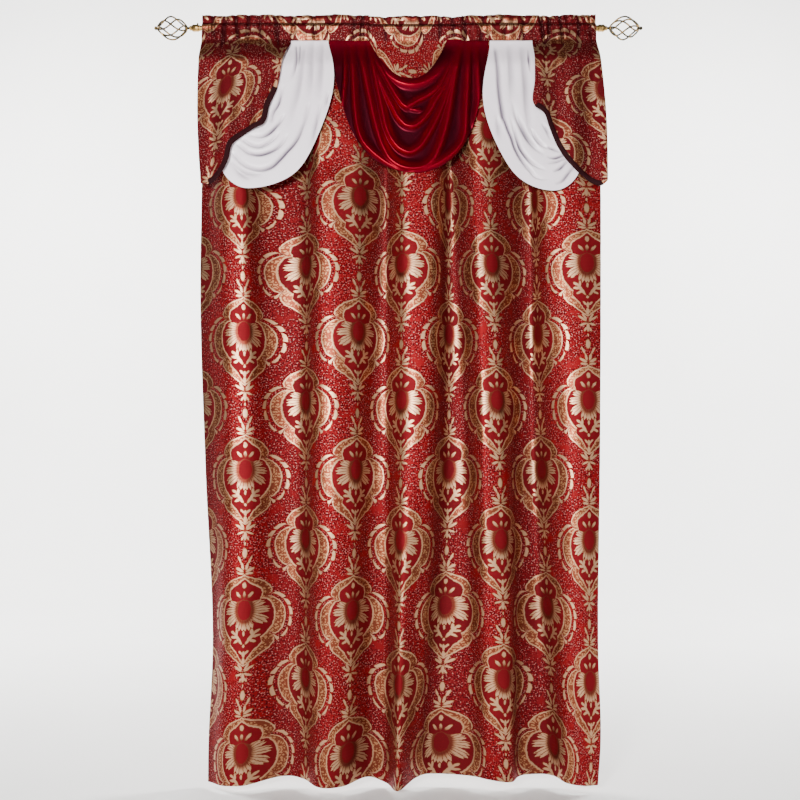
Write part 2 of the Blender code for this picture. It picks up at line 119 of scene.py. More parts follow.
# How far the header puffs out between its creases
GATHER_PUFF = 5.2 * MM
# Shade of the gathers on their ridges, what their troughs add, and how far below the seam it fades out
RIDGE_SHADE, TROUGH_SHADE, GATHER_SHADE_END = 0.15, 0.65, 45 * MM

# Valance: how far in front of the rod's plane its seam lies, and what the seam hangs further out, with
# its run, where the heading goes on into a jabot
SEAM_OUT = 5.3 * MM
SEAM_FREE, SEAM_FREE_RUN = 6.5 * MM, 60 * MM
# The lower row of stitches lies this far above the pocket's seam
STITCH_RISE = 3 * MM
# Share of the header's gathers that goes on into the jabots, and how far down it fades
JABOT_GATHER, JABOT_GATHER_FADE = 0.6, 90 * MM
JABOT_OUT = 41 * MM
BAND_STEP = 3.4 * MM
# Valance halves in mm: x of the heading band's outer and inner end; the jabot's edge from its outer lower
# corner to the seam (x, z); and which share of that edge is bound
JABOTS = {
    "left": dict(
        band=(-560, -88),
        edge=(
            (-553, -458), (-532, -458), (-498, -430), (-479, -396), (-465, -345), (-447, -328),
            (-413, -306), (-380, -289), (-365, -238), (-343, -185), (-325, -93), (-309, -49),
        ),
        bound=(0.041, 0.724),
    ),
    "right": dict(
        band=(554, 174),
        edge=(
            (576, -450), (564, -461), (506, -436), (466, -396), (443, -359), (415, -294),
            (402, -260), (375, -238), (376, -162), (376, -99), (374, -50),
        ),
        bound=(0.032, 0.631),
    ),
}
# Painted shade all over the valance's cloth: how far its colour is mixed towards the shade colour
VALANCE_SHADE = 0.53
JABOT_SWELL = 8 * MM
JABOT_PLEAT = 5 * MM
JABOT_PLEAT_PITCH = 92 * MM
JABOT_PLEAT_RISE = 260 * MM
BAND_SECTION = (
    # clearance over the panel, height, share of the creases
    (2.0, 33, 1.0),
    (2.0, 22, 1.0),
    (0.8, 11, 0.5),
    (1.0, 5.8, 0.8),
    (0.9, 0, 0.9),
    (1.4, -5.8, 0.9),
    (2.4, -24, 1.0),
)

# The heading is cut crosswise: the height of its row of medallions, and which place along the flat
# cloth the gathers have left at each x (mm), looser at both ends than in the middle
HEADING_ROW = 46 * MM
HEADING_GATHERS = (
    (-640, -470), (-582, -382), (-414, -208), (-232, 0), (36, 382), (314, 764), (462, 938), (580, 1070),
)
# How the jacquard's pattern lies on each jabot: where one medallion's centre is (x, z in mm), and
# which way the cloth's width and its length run there, with the share that the pleats leave
LAY_JABOTS = {
    "left": dict(centre=(-485, -180), across=(0.83, 0.22), up=(0.16, 0.95)),
    "right": dict(centre=(421, -350), across=(0.9, -0.06), up=(-0.05, 0.88)),
}
PANEL_HEART = (153, -486)
JABOT_PATTERN_TOP = -53 * MM
BAND_CELL = 5.5 * MM
# Binding from its inner front edge over the jabot's edge to its inner back edge: how far inwards from
# the edge, how far in front of the cloth's skin (mm); behind it where negative
BINDING_SECTION = (
    (13, 0.6), (11, 1.2), (7, 1.8), (3, 1.6), (0, 0.9), (-0.8, 0.2), (-0.8, -0.2), (0, -0.6), (3, -0.6),
    (7, -0.6),
)

# Finials: places outwards from the rod's middle
CAGE_START = 598 * MM
CAGE_LENGTH = 87 * MM
CAGE_RADIUS = 33.5 * MM
CAGE_END_RADIUS = 3.5 * MM
WIRE_TWIST = math.radians(120)
NECK_OUTLINE = (
    # x, radius in mm
    (586.5, 3.3), (597, 3.3), (598, 4.4), (599, 6.0), (600.5, 6.6), (602, 6.2), (603.5, 5.4), (606, 3.0),
    (607, 0.5),
)
TIP_OUTLINE = (
    (677, 0.5), (678, 3.0), (680.5, 5.6), (682, 6.4), (683.5, 6.3), (684.6, 4.4), (685.3, 3.6),
    (686.2, 4.6), (687.4, 5.2), (688.6, 5.3), (690, 4.9), (691.5, 3.9), (693, 2.2), (693.8, 0.5),
)
WIRES, WIRE_POINTS, WIRE_SIDES = 6, 41, 10
# Under 1 makes the cage's ends rounder
CAGE_FULLNESS = 0.8
ROUND_STEPS = 28
THREAD_SIDES = 6
# How far the wires' ends reach into the neck and the tip ball
WIRE_SET_IN = 2 * MM

# Points across and down each cloth
PANEL_COLUMNS, PANEL_ROWS, HEM_ROWS, HEADER_ROWS = 190, 126, 6, 61
JABOT_COLUMNS, JABOT_ROWS, BAND_ROWS = 84, 61, 26
BINDING_COLUMNS = 241
SWAG_COLUMNS, SWAG_ROWS, FOLD_POINTS = 151, 220, 80
# A swag's fold of this height counts in full for the painted shade (mm)
FOLD_SHOWN = 9
# A swag's fold is sharp on one side and soft on the other, and ends within this many half widths
FOLD_SHARP, FOLD_SOFT, FOLD_END = 0.75, 1.5, 2.5
# The header's part that no heading band covers
BARE_HEADER = (-84 * MM, 170 * MM)
SHARP_CLOTH = math.radians(70)
SHARP_METAL = math.radians(50)

# Stage, lights and camera
FLOOR = -2.118
STAGE_FRONT, STAGE_BACK, STAGE_TOP, STAGE_SIDE = -8.0, 3.2, 7.5, 12.0
SWEEP_RADIUS = 1.6
LIGHTS = (
    # name, place, target, size in metres, power in watts
    ("key", (-0.9, -3.7, -0.6), (0, 0, -1.0), 0.7, 230),
    ("fill", (1.7, -3.4, -0.9), (0, 0, -1.1), 1.4, 14),
    ("backdrop light", (-3.2, 1.6, 1.2), (-0.8, 4.8, -0.8), 1.6, 560),
    ("backdrop light", (3.2, 1.6, 1.2), (0.8, 4.8, -0.8), 1.6, 560),
)
SURROUND = 0.05
CAMERA_PLACE = (CLOTH_SHIFT, -2.9, -1.235)
CAMERA_TILT = math.radians(93.5)
# The photo's focal length is 1046 of its 800 pixels
SENSOR = 36
LENS = SENSOR * 1046 / 800

# Damask on the flat cloth: its half-drop repeat, in which a medallion lies 17 mm above the middle of a
# cell of 191 mm
REPEAT_ACROSS, REPEAT_DOWN = 0.346, 0.382
CELL_DROP = 17 / 191
# Sizes in mm: the outlines' furthest point, the gap between band and leaves, how deep a spray counts, the
# flower's heart, half of a pale line and the brown threads at a figure's edge
REACH, LEAF_GAP, SPRAY_DEPTH = 210, 10.0, 6.0
HEART_HALF_WIDTH, HEART_HALF_LENGTH = 18, 27
LINE_HALF, EDGE_THREADS = 1.5, 1.4
# Petal veins all round a medallion
VEINS = 34
# Sizes of the noise in the jacquard, the satin, the tape and the metal
WOBBLE_CELL, FLECK_CELL, SCROLL_CELL, CLOUD_CELL = 7 * MM, 4 * MM, 7.5 * MM, 45 * MM
CRUMPLE_CELL, TAPE_GRAIN, WEAR_CELL, PAINT_GRAIN = 30 * MM, 0.9 * MM, 9 * MM, 1.5 * MM
# Satin's floats: how many lie in a metre along the swag and down it
FLOATS = (1 / 0.05, 1 / 0.0012, 1)
# A wave texture at scale 1 turns by this many radians in a metre
WAVE_TURNS = 20
RIB_PITCH = 9.43 * MM

# Lines on the cloth's front skin that the makers note for the stitches
sewing_lines = []

# Swags: height of their tops, how far in front of the rod's plane they lie there, over which run the
# valance comes to stand out, and how much lower a swag does
SWAG_TUCK = -34 * MM
SWAG_BACK = 3.2 * MM
SWAG_RISE = 75 * MM
SWAG_LAG = 11 * MM
# Steepness of the folds' sides by place from the upper to the lower rim: nearly V-shaped in the middle
RED_STEEP = ((0.0, 2.3), (0.15, 1.8), (0.35, 1.6), (0.6, 1.8), (0.8, 2.6))
WHITE_STEEP = ((0.0, 2.3), (0.3, 3.2), (0.6, 4.2), (0.8, 5.2))
# Folds one by one: half width, how far each stands out at its start, middle and end (less than 0: a crease
# that lies in), and the line that it follows (x and z in mm)
RED_FOLDS = (
    (12, (4, 9, 4), ((-70, -90), (-40, -135), (-5, -163), (33, -172), (67, -165), (100, -145),
        (135, -105))),
    (8, (6, 12, 6), ((-80, -80), (-55, -125), (-28, -175), (-6, -212), (9, -231), (18, -237),
        (30, -231), (50, -219), (84, -200), (112, -175), (134, -132), (153, -90))),
    (5, (2, 6, 0), ((22, -241), (45, -245), (70, -249))),
    (9, (5, 12, 6), ((-84, -62), (-70, -130), (-45, -190), (-22, -235), (-4, -268), (18, -289),
        (40, -291), (60, -278), (84, -250), (103, -215), (122, -185), (142, -140), (156, -95))),
    (9, (9, 14, 8), ((-86, -60), (-78, -110), (-67, -167), (-53, -232), (-39, -295), (-22, -332),
        (0, -356), (28, -366), (52, -354), (84, -310), (112, -255), (134, -195), (151, -135),
        (162, -85))),
    (10, (8, 15, 9), ((-112, -70), (-100, -140), (-81, -232), (-64, -304), (-48, -350), (-28, -385),
        (0, -405), (33, -412), (70, -406), (95, -385), (112, -350), (128, -300), (142, -232),
        (153, -160), (167, -80))),
    (8, (7, 13, 9), ((-137, -70), (-132, -160), (-126, -250), (-118, -300), (-104, -335), (-80, -362),
        (-45, -390), (-8, -412))),
    (9, (9, 13, 7), ((40, -418), (75, -410), (115, -392), (150, -366), (174, -338), (184, -305),
        (187, -250), (192, -165), (196, -70))),
    (5, (6, 10, 7), ((-156, -70), (-156, -150), (-159, -190), (-163, -232))),
    (8, (7, 8, 6), ((213, -275), (223, -215), (222, -160), (218, -70))),
)
WHITE_LEFT_FOLDS = (
    (3.5, (-7, -8, 0), ((-293, -61), (-290, -104), (-296, -138), (-304, -161))),
    (3.5, (-6, -7, 0), ((-282, -61), (-282, -98), (-285, -132))),
    (3.5, (0, -9, -5), ((-326, -175), (-332, -204), (-340, -232), (-352, -252), (-357, -272))),
    (4, (0, -10, -2), ((-321, -255), (-332, -278), (-346, -295), (-363, -312), (-385, -323),
        (-407, -321))),
    (4, (0, -7, -3), ((-335, -306), (-349, -326), (-368, -341), (-393, -352), (-419, -346),
        (-438, -332))),
    (4, (0, -10, -4), ((-312, -312), (-326, -338), (-346, -358), (-368, -369), (-393, -375),
        (-424, -369), (-446, -352))),
    (4.5, (-3, -10, -3), ((-257, -241), (-262, -269), (-271, -295), (-282, -323), (-299, -349),
        (-312, -363), (-335, -389), (-357, -409), (-385, -418), (-419, -412), (-446, -395),
        (-460, -378))),
    (4, (-2, -7, 0), ((-223, -235), (-229, -266), (-237, -304), (-248, -355))),
    (3, (0, -7, 0), ((-201, -196), (-204, -216), (-207, -238))),
    (9, (-4, -5, 0), ((-220, -61), (-220, -110), (-223, -167), (-226, -225))),
    (9, (-4, -5, 0), ((-248, -61), (-248, -138), (-251, -225))),
    (8, (-4, -5, 0), ((-271, -76), (-276, -138), (-287, -204), (-301, -255), (-312, -298))),
    (5, (-2, -5, 0), ((-463, -398), (-446, -415), (-419, -426), (-379, -426))),
    (5, (-2, -5, 0), ((-458, -409), (-444, -426), (-413, -443))),
)
WHITE_RIGHT_FOLDS = (
    (6, (-7, -8, -9), ((268, -76), (273, -132), (276, -190), (279, -218), (285, -261))),
    (4, (-9, -9, 0), ((285, -261), (293, -281), (301, -304), (310, -326), (318, -352), (329, -375),
        (343, -398), (360, -418), (377, -437), (396, -443), (419, -440))),
    (4, (0, -10, 0), ((310, -269), (318, -304), (326, -335), (335, -360), (349, -380), (363, -395),
        (385, -409), (410, -418))),
    (6, (-2, -9, 0), ((318, -238), (324, -266), (335, -292), (346, -315), (363, -341), (382, -360),
        (405, -375))),
    (3.5, (-5, -9, -3), ((362, -74), (361, -104), (364, -130))),
    (4, (-2, -7, 0), ((365, -298), (374, -321), (388, -341), (405, -352), (416, -356))),
    (3.5, (0, -8, -6), ((410, -351), (422, -357), (436, -362))),
    (3.5, (0, -9, -7), ((410, -380), (430, -384), (456, -376))),
    (3.5, (0, -6, -5), ((410, -398), (436, -394), (458, -385))),
    (3.5, (0, -9, -6), ((425, -422), (446, -414), (464, -396))),
    (4, (0, -8, -6), ((430, -458), (452, -449), (469, -429), (482, -412))),
    (9, (-4, -5, 0), ((307, -76), (310, -147), (312, -230))),
    (9, (-4, -6, -2), ((343, -76), (349, -161), (354, -246), (362, -300))),
    (7, (0, -5, 0), ((271, -255), (273, -290), (277, -335))),
    (3.5, (0, -7, -3), ((396, -283), (406, -300), (416, -322))),
)
# Swags, sizes in mm: x of the upper and the lower rim at the left and the right end, drop of both rims,
# place of the lowest point from 0 to 1, steepness of the lower rim's two sides, how round its hang is,
# steepness further up, a side's swell with how slowly it comes and goes downwards, how far it stands
# out, how far its ends lie back, its folds, the side on which they are sharp, whether they mostly stand
# out, and how soon they show below the seam
SWAGS = {
    "swag_red": dict(
        left=(-88, -202), right=(133, 252.5), drop=(119, 389), low=0.54, steep=(6.0, 7.0), arc=0.43,
        inner=RED_STEEP, swell=(0, 1, 1), out=15, ends=0.5, folds=RED_FOLDS, lower=-1,
        raised=True, fade=5.0,
    ),
    "swag_white_left": dict(
        left=(-430, -538), right=(-312, -204), drop=(70, 434), low=0.34, steep=(8.0, 8.0), arc=0.25,
        inner=WHITE_STEEP, swell=(31, 1.5, 3.0), out=26, ends=0.0, folds=WHITE_LEFT_FOLDS, lower=1,
        raised=False, fade=5.0,
    ),
    "swag_white_right": dict(
        left=(386, 254), right=(450, 540), drop=(80, 441), low=0.61, steep=(8.0, 8.0), arc=0.25,
        inner=WHITE_STEEP, swell=(-36, 2.0, 2.6), out=26, ends=0.0, folds=WHITE_RIGHT_FOLDS, lower=-1,
        raised=False, fade=5.0,
    ),
}

# Flat cuts in metres: width, length and area
SWAG_CUT = {
    "swag_red": (0.95, 0.36, 0.19),
    "swag_white_left": (0.80, 0.36, 0.17),
    "swag_white_right": (0.80, 0.36, 0.155),
}

# Medallion of the damask in polar form round its centre: degrees from the top, millimetres out
INNER_LINE = (
    (0, 85), (8, 77), (16, 72), (26, 70), (35, 69), (43, 63), (48, 57), (51, 52), (54, 48), (58, 53),
    (66, 59), (75, 62), (84, 65), (98, 70), (109, 73), (125, 79), (137, 82), (151, 87), (154, 87),
    (156, 101), (161, 106), (169, 114), (173, 124), (178, 138), (180, 144),
)
BAND_LINE = (
    (0, 97), (4, 93), (16, 90), (28, 90), (36, 89), (43, 87), (50, 85), (54, 82), (57, 76), (58.5, 50),
    (60, 66), (63, 69), (70, 77), (77, 85), (89, 96), (100, 102), (111, 105), (124, 108), (132, 107),
    (138, 103), (140, 82), (142, 110), (146, 118), (153, 125), (162, 129), (171, 139), (176, 146), (180, 152),
)
FLOWER_LINE = (
    (0, 29), (30, 27), (44, 30), (52, 40), (58, 49), (61, 44), (66, 53), (69, 46), (73, 53), (77, 41),
    (79, 34), (82, 47), (87, 59), (90, 51), (94, 61), (97, 52), (101, 60), (105, 49), (108, 36), (110, 34),
    (113, 51), (119, 65), (122, 57), (127, 68), (131, 58), (135, 62), (139, 50), (144, 37), (146, 35),
    (150, 47), (156, 57), (160, 48), (166, 59), (171, 50), (176, 58), (180, 52),
)
LEAF_LINE = (
    (0, 40), (57, 40), (60, 84), (66, 95), (72, 102), (75, 106), (76, 92), (79, 108), (84, 115), (87, 118),
    (88, 102), (91, 117), (96, 122), (101, 124), (102, 110), (105, 122), (110, 126), (116, 127),
    (117, 113), (121, 123), (128, 126), (134, 124), (135, 112), (139, 121), (145, 119), (149, 113),
    (150, 40), (180, 40),
)
# Sprays, leaves and buds inside, above and below the medallion, on its right half:
# x, y, half width, half length, turn from upright to the right
SPRAYS = (
    (0, 67, 6.5, 9, 0),
    (0, 42, 4.5, 10, 0),
    (16, 41, 4.5, 12, 40),
    (17, -75, 5, 24, 36),
    (20, -61, 4.4, 12, -2),
    (31, -60, 4.2, 9, 58),
    (29, -72, 4.2, 11, 84),
    (22, -84, 4.0, 10, 114),
    (0, -63, 3.5, 8, 0),
    (0, -97, 4, 5, 0),
    (0, -119, 4.5, 10, 0),
    (8, -114, 3.5, 8, 45),
    (0, 154, 7.5, 15, 0),
    (14, 136, 3.5, 13, 26),
    (6, 118, 4, 12, 14),
    (14, 109, 4.5, 14, 62),
    (12, 99, 3.5, 12, 84),
    (0, -138, 5.5, 12, 0),
    (9, -152, 3.5, 13, 34),
    (15, -157, 4, 16, 58),
    (12, -173, 3.5, 12, 108),
    (0, -181, 5, 14, 0),
    (7, -187, 3, 8, 150),
    (0, -203, 2.5, 5, 0),
)


def linear(code):
    """An sRGB hex value as linear red, green and blue."""
    parts = [int(code[k : k + 2], 16) / 255 for k in (1, 3, 5)]
    return tuple(p / 12.92 if p <= 0.04045 else ((p + 0.055) / 1.055) ** 2.4 for p in parts)


def colour(name, note, code):
    """A colour property whose default is an sRGB hex value."""
    return bpy.props.FloatVectorProperty(
        name=name, description=note, subtype="COLOR", size=3, min=0, max=1, default=linear(code)
    )


def length(name, note, metres):
    """A length property."""
    return bpy.props.FloatProperty(
        name=name, description=note, default=metres, min=0, subtype="DISTANCE", unit="LENGTH"
    )


class CurtainSizes(bpy.types.PropertyGroup):
    """Sizes of the cloth and its sewing."""

    cloth: length("Jacquard", "Thickness of the woven jacquard", 0.9 * MM)
    satin: length("Satin", "Thickness of the satin", 0.7 * MM)
    hem: length("Hem", "Height of the turned-up hem", 0.055)
    stitch: length("Stitch", "Length of one stitch", 3.2 * MM)
    stitch_pitch: length("Stitch pitch", "From one stitch to the next", 4.6 * MM)
    thread: length("Thread", "Thickness of the sewing thread", 0.45 * MM)
    binding: length("Binding", "Thickness of the binding tape", 0.7 * MM)
    wire: length("Cage wire", "Thickness of a finial's wires", 4.6 * MM)


class CurtainColours(bpy.types.PropertyGroup):
    """Colours of the cloth, the satin and the metal."""

    ground: colour("Ground", "Red ground of the jacquard", "#7B1116")
    # Shade is both the maroon threads between the slubs and the colour that painted shade darkens the
    # jacquard towards
    shade: colour("Shade", "Maroon threads between the slubs", "#33080C")
    inside: colour("Inside", "Plain red inside the medallions", "#661016")
    figure: colour("Figure", "Light tan of the woven figures", "#A06E4C")
    edge: colour("Figure edge", "Orange brown round the figures", "#5E2A1E")
    scroll: colour("Scroll", "Brown scrolls in the bands and veins in the petals", "#5C1813")
    petal: colour("Petal", "Pale threads of the flowers and sprays", "#AE8868")
    line: colour("Line", "Pale line inside the medallions", "#AE8868")
    fleck: colour("Fleck", "Pale slubs of the ground", "#9E746C")
    binding: colour("Binding", "Dark maroon binding", "#28060B")
    white: colour("White satin", "White satin of the side swags", "#F8ECF4")
    burgundy: colour("Burgundy satin", "Burgundy satin of the middle swag", "#76061A")
    # The satins' shade colours are painted shade in their creases
    white_shade: colour("White satin shade", "Lilac grey in the white satin's creases", "#4A3852")
    burgundy_shade: colour("Burgundy satin shade", "Dark wine in the burgundy satin's creases", "#330510")
    bronze: colour("Bronze", "Dark antique bronze", "#3A3527")
    rubbed: colour("Rubbed brass", "Brass that shows where the finish is rubbed", "#C09A5C")


def add(tree, kind, inputs=None, **settings):
    """Adds a node with its settings; inputs are values, or nodes and sockets to link."""
    node = tree.nodes.new(kind)
    for name, value in settings.items():
        setattr(node, name, value)
    for key, value in (inputs or {}).items():
        if isinstance(value, bpy.types.Node):
            value = value.outputs[0]
        if isinstance(value, bpy.types.NodeSocket):
            tree.links.new(value, node.inputs[key])
        else:
            node.inputs[key].default_value = value
    return node


def ease(value):
    """Smooth step from 0 to 1."""
    value = np.clip(value, 0.0, 1.0)
    return value * value * (3 - 2 * value)


def through(keys, values, at):
    """Smooth curve through a table's column: cubic pieces whose slopes are the neighbours' mean."""
    keys, values = np.asarray(keys, float), np.asarray(values, float)
    at = np.asarray(at, float)
    slope = np.gradient(values, keys)
    first = np.clip(np.searchsorted(keys, at, side="right") - 1, 0, len(keys) - 2)
    span = keys[first + 1] - keys[first]
    t = np.clip((at - keys[first]) / span, 0, 1)
    start, end = values[first], values[first + 1]
    rise = start + (end - start) * t * t * (3 - 2 * t)
    lean = slope[first] * t * (1 - t) ** 2 - slope[first + 1] * t * t * (1 - t)
    return rise + lean * span


def pairs(across, along):
    """Both coordinates of every point side by side."""
    return np.stack(np.broadcast_arrays(across, along), axis=-1)


def walked(points):
    """Length along a line of points up to each of them."""
    return np.concatenate(((0,), np.cumsum(np.linalg.norm(np.diff(points, axis=0), axis=1))))


def walked_share(points):
    """How far along a line of points each one lies, from 0 to 1."""
    length_to = walked(points)
    return length_to / length_to[-1]


def put_in_scene(name, data):
    """A new object in the scene."""
    thing = bpy.data.objects.new(name, data)
    bpy.context.scene.collection.objects.link(thing)
    return thing


def smooth_mesh(name, points, faces, edges=()):
    """A smooth-shaded mesh."""
    data = bpy.data.meshes.new(name)
    data.from_pydata(points, edges, faces)
    data.shade_smooth()
    return data


def grid_normals(grid, shown):
    """Unit normals at a grid's points, averaged from the cells that are part of the cloth."""
    cells = np.cross(grid[1:, :-1] - grid[:-1, 1:], grid[1:, 1:] - grid[:-1, :-1])
    cells /= np.maximum(np.linalg.norm(cells, axis=2, keepdims=True), TINY)
    cells = cells * shown[:, :, None]
    total = np.zeros_like(grid)
    for rows in (slice(0, -1), slice(1, None)):
        for columns in (slice(0, -1), slice(1, None)):
            total[rows, columns] += cells
    return total / np.maximum(np.linalg.norm(total, axis=2, keepdims=True), TINY)


def cloth(name, grid, uv, thickness, shown=None, other_uv=None, other_cells=None, painted_shade=None):
    """A thin closed cloth from a grid of its middle surface, rows downwards and columns to the right.

    shown says which cells are cloth. uv is the place of each point on the flat cloth in metres; in
    other_cells, other_uv holds. The last argument is the painted shade at each point, from 0 to 1, kept as an
    attribute for the material.
    """
    grid = np.asarray(grid, float) + np.array((CLOTH_SHIFT, 0, 0))
    rows, columns = grid.shape[:2]
    if shown is None:
        shown = np.ones((rows - 1, columns - 1), bool)
    out = grid_normals(grid, shown) * thickness / 2
    number = np.arange(rows * columns).reshape(rows, columns)
    i, j = np.nonzero(shown)
    cells = np.stack((number[i, j], number[i + 1, j], number[i + 1, j + 1], number[i, j + 1]), axis=1)
    sides = np.concatenate([cells[:, [a, (a + 1) % 4]] for a in range(4)]).tolist()
    open_sides = {}
    for k, (a, b) in enumerate(sides):
        if open_sides.pop((b, a), None) is None:
            open_sides[a, b] = k % len(cells)
    rim = np.array(list(open_sides))
    back = rows * columns
    edge = np.stack((rim[:, 1], rim[:, 0], rim[:, 0] + back, rim[:, 1] + back), axis=1)
    faces = np.concatenate((cells, cells[:, ::-1] + back, edge))
    points = np.concatenate(((grid + out).reshape(-1, 3), (grid - out).reshape(-1, 3)))
    used, faces = np.unique(faces, return_inverse=True)
    faces = faces.reshape(-1, 4)
    flat = np.concatenate((uv.reshape(-1, 2), uv.reshape(-1, 2)))[used][faces]
    if other_uv is not None:
        chosen = other_cells[i, j]
        chosen = np.concatenate((chosen, chosen, chosen[list(open_sides.values())]))
        flat[chosen] = np.concatenate((other_uv.reshape(-1, 2),) * 2)[used][faces[chosen]]
    data = smooth_mesh(name, points[used].tolist(), faces.tolist())
    layer = data.uv_layers.new(name="flat")
    layer.data.foreach_set("uv", flat.reshape(-1).astype(np.float32))
    # Painted shade at each point, which the material mixes into the cloth's colour
    if painted_shade is not None:
        deep = np.concatenate((painted_shade.reshape(-1),) * 2)[used].astype(np.float32)
        data.attributes.new("painted_shade", "FLOAT", "POINT").data.foreach_set("value", deep)
    data.set_sharp_from_angle(angle=SHARP_CLOTH)
    return put_in_scene(name, data)


def dress(thing, material, slot, *nodes):
    """Gives a piece its material and its body, and hides the solids that it stands for; slot is not used."""
    thing.data.materials.clear()
    thing.data.materials.append(material)
    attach(thing, "root")
    if nodes:
        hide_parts(*nodes)


def lay(x, z, centre, across, up):
    """Places on the flat cloth, from a medallion's centre, of points at x and z on the hung cloth."""
    basis = np.linalg.inv(np.array((across, up), float).T)
    return pairs(x - centre[0] * MM, z - centre[1] * MM) @ basis.T


def lay_heading(x, z):
    """Places on the flat cloth, from a medallion's centre, of points on the crosswise heading."""
    keys, flat = np.array(HEADING_GATHERS, float).T * MM
    return pairs(HEADING_ROW - z, through(keys, flat, x))


def creases_at(x, z):
    """How far the gathered header stands out, from 0 up: puffed between hand-placed soft troughs."""
    fine = 0.5 * np.sin(x / 0.0023 + 3 * np.sin(x / 0.03)) + 0.6 * np.sin(x / 0.0041 + z / 0.02 + 1)
    total = np.full(np.broadcast(x, z).shape, GATHER_PUFF) + fine * MM
    for place, width, depth, lean in CREASES:
        middle = (place + lean * (HEADER_TOP - z) / (HEADER_TOP - POCKET_SEAM)) * MM
        away = (x - middle) / (width * MM)
        total += depth * MM * (0.7 * np.exp(-((away / 2.4) ** 2)) - 2.4 * np.exp(-(away ** 2)))
    return np.clip(total, 0, None)


def gather_shade(x, z):
    """Painted shade of the header's gathers at each point, from 0 to 1: a little on the ridges, more in the
    troughs, fading out below the seam.
    """
    deep = RIDGE_SHADE + TROUGH_SHADE * ease(1 - creases_at(x, z) / GATHER_PUFF)
    return deep * ease((z - POCKET_SEAM) / GATHER_SHADE_END + 1)


def top_waves(x, z):
    """Rise and fall of the header's edge over the stitched line, as the gathers leave it."""
    wave = 1.5 * np.sin(x / 0.037) + 1.1 * np.sin(x / 0.0148 + 1) + 0.4 * np.sin(x / 0.0062)
    return wave * MM * ease((z - HEADER_STITCH) / (HEADER_TOP - HEADER_STITCH))


def ripples(places, height):
    """Small soft waves of the hanging cloth between its main folds."""
    slow = np.sin(places / 0.031 + 2.1 * np.sin(height / 0.55) + 1.3)
    quick = np.sin(places / 0.0135 + 1.7 * np.sin(height / 0.38 + 1.0) + height / 0.9)
    cross = np.sin(height / 0.11 + 3.0 * np.sin(places / 0.17))
    return MM * (1.6 * slow + 0.7 * quick + 0.5 * cross)


def fold_grid(places, header_x, heights):
    """The hanging panel below the pocket: a row of points at each height, with folds from the table."""
    table = np.array(FOLDS, float) * MM
    levels = np.array(FOLD_LEVELS[::-1], float) * MM
    edges = np.array(EDGES[::-1], float) * MM
    flat = table[:, 0]
    rows = []
    for height in heights:
        share = np.clip(height, levels[0], levels[-1])
        x_keys = np.array([through(levels, row[[3, 2, 1]], share) for row in table])
        y_keys = np.array([through(levels, row[[6, 5, 4]], share) for row in table])
        x_keys[0] = through(edges[:, 0], edges[:, 1], height)
        x_keys[-1] = through(edges[:, 0], edges[:, 2], height)
        x = through(flat, x_keys, places)
        y = through(flat, y_keys, places) + ripples(places, height)
        lift = through(flat, table[:, 7], places) * ease((HEM_WAVE_START - height) / HEM_WAVE_RUN)
        below = POCKET_SEAM - height
        x = header_x + (x - header_x) * ease(below / FOLDS_SPREAD)
        y = POCKET_OFFSET + (y - POCKET_OFFSET) * ease(below / FOLDS_RISE)
        limit = POCKET_OFFSET + (UNDER_VALANCE - POCKET_OFFSET) * ease(below / FOLDS_SPREAD)
        y = y + (np.maximum(y, limit) - y) * ease((height - FOLD_LEVELS[0] * MM) / VALANCE_FREE)
        rows.append(np.stack((x, y, height + lift), axis=1))
    return np.array(rows)


def header_section():
    """Pocket and header from the seam up the front, over the top and down the back: y, z and share."""
    side = POCKET_RADIUS * math.sin(math.radians(45))
    front = (
        (-PINCH, POCKET_SEAM, 0.0),
        (-PINCH - 2.0 * MM, -24 * MM, 0.3),
        (-side, -side, 0.4),
        (-POCKET_RADIUS, 0.0, 0.4),
        (-side, side, 0.3),
        (-PINCH, HEADER_STITCH, 0.0),
        (-PINCH - 0.4 * MM, 21 * MM, 0.7),
        (-PINCH - 0.2 * MM, HEADER_TOP - 2.2 * MM, 1.0),
    )
    top = ((0.0, HEADER_TOP - 0.6 * MM, 1.0),)
    back = tuple((-y, z, share) for y, z, share in reversed(front))
    return np.array(front + top + back)


def smooth_rows(table, count):
    """More rows along a section, evenly spaced on a smooth curve through its points."""
    share = walked_share(table[:, :2])
    at = np.linspace(0, 1, count)
    return np.stack([through(share, column, at) for column in table.T], axis=1)


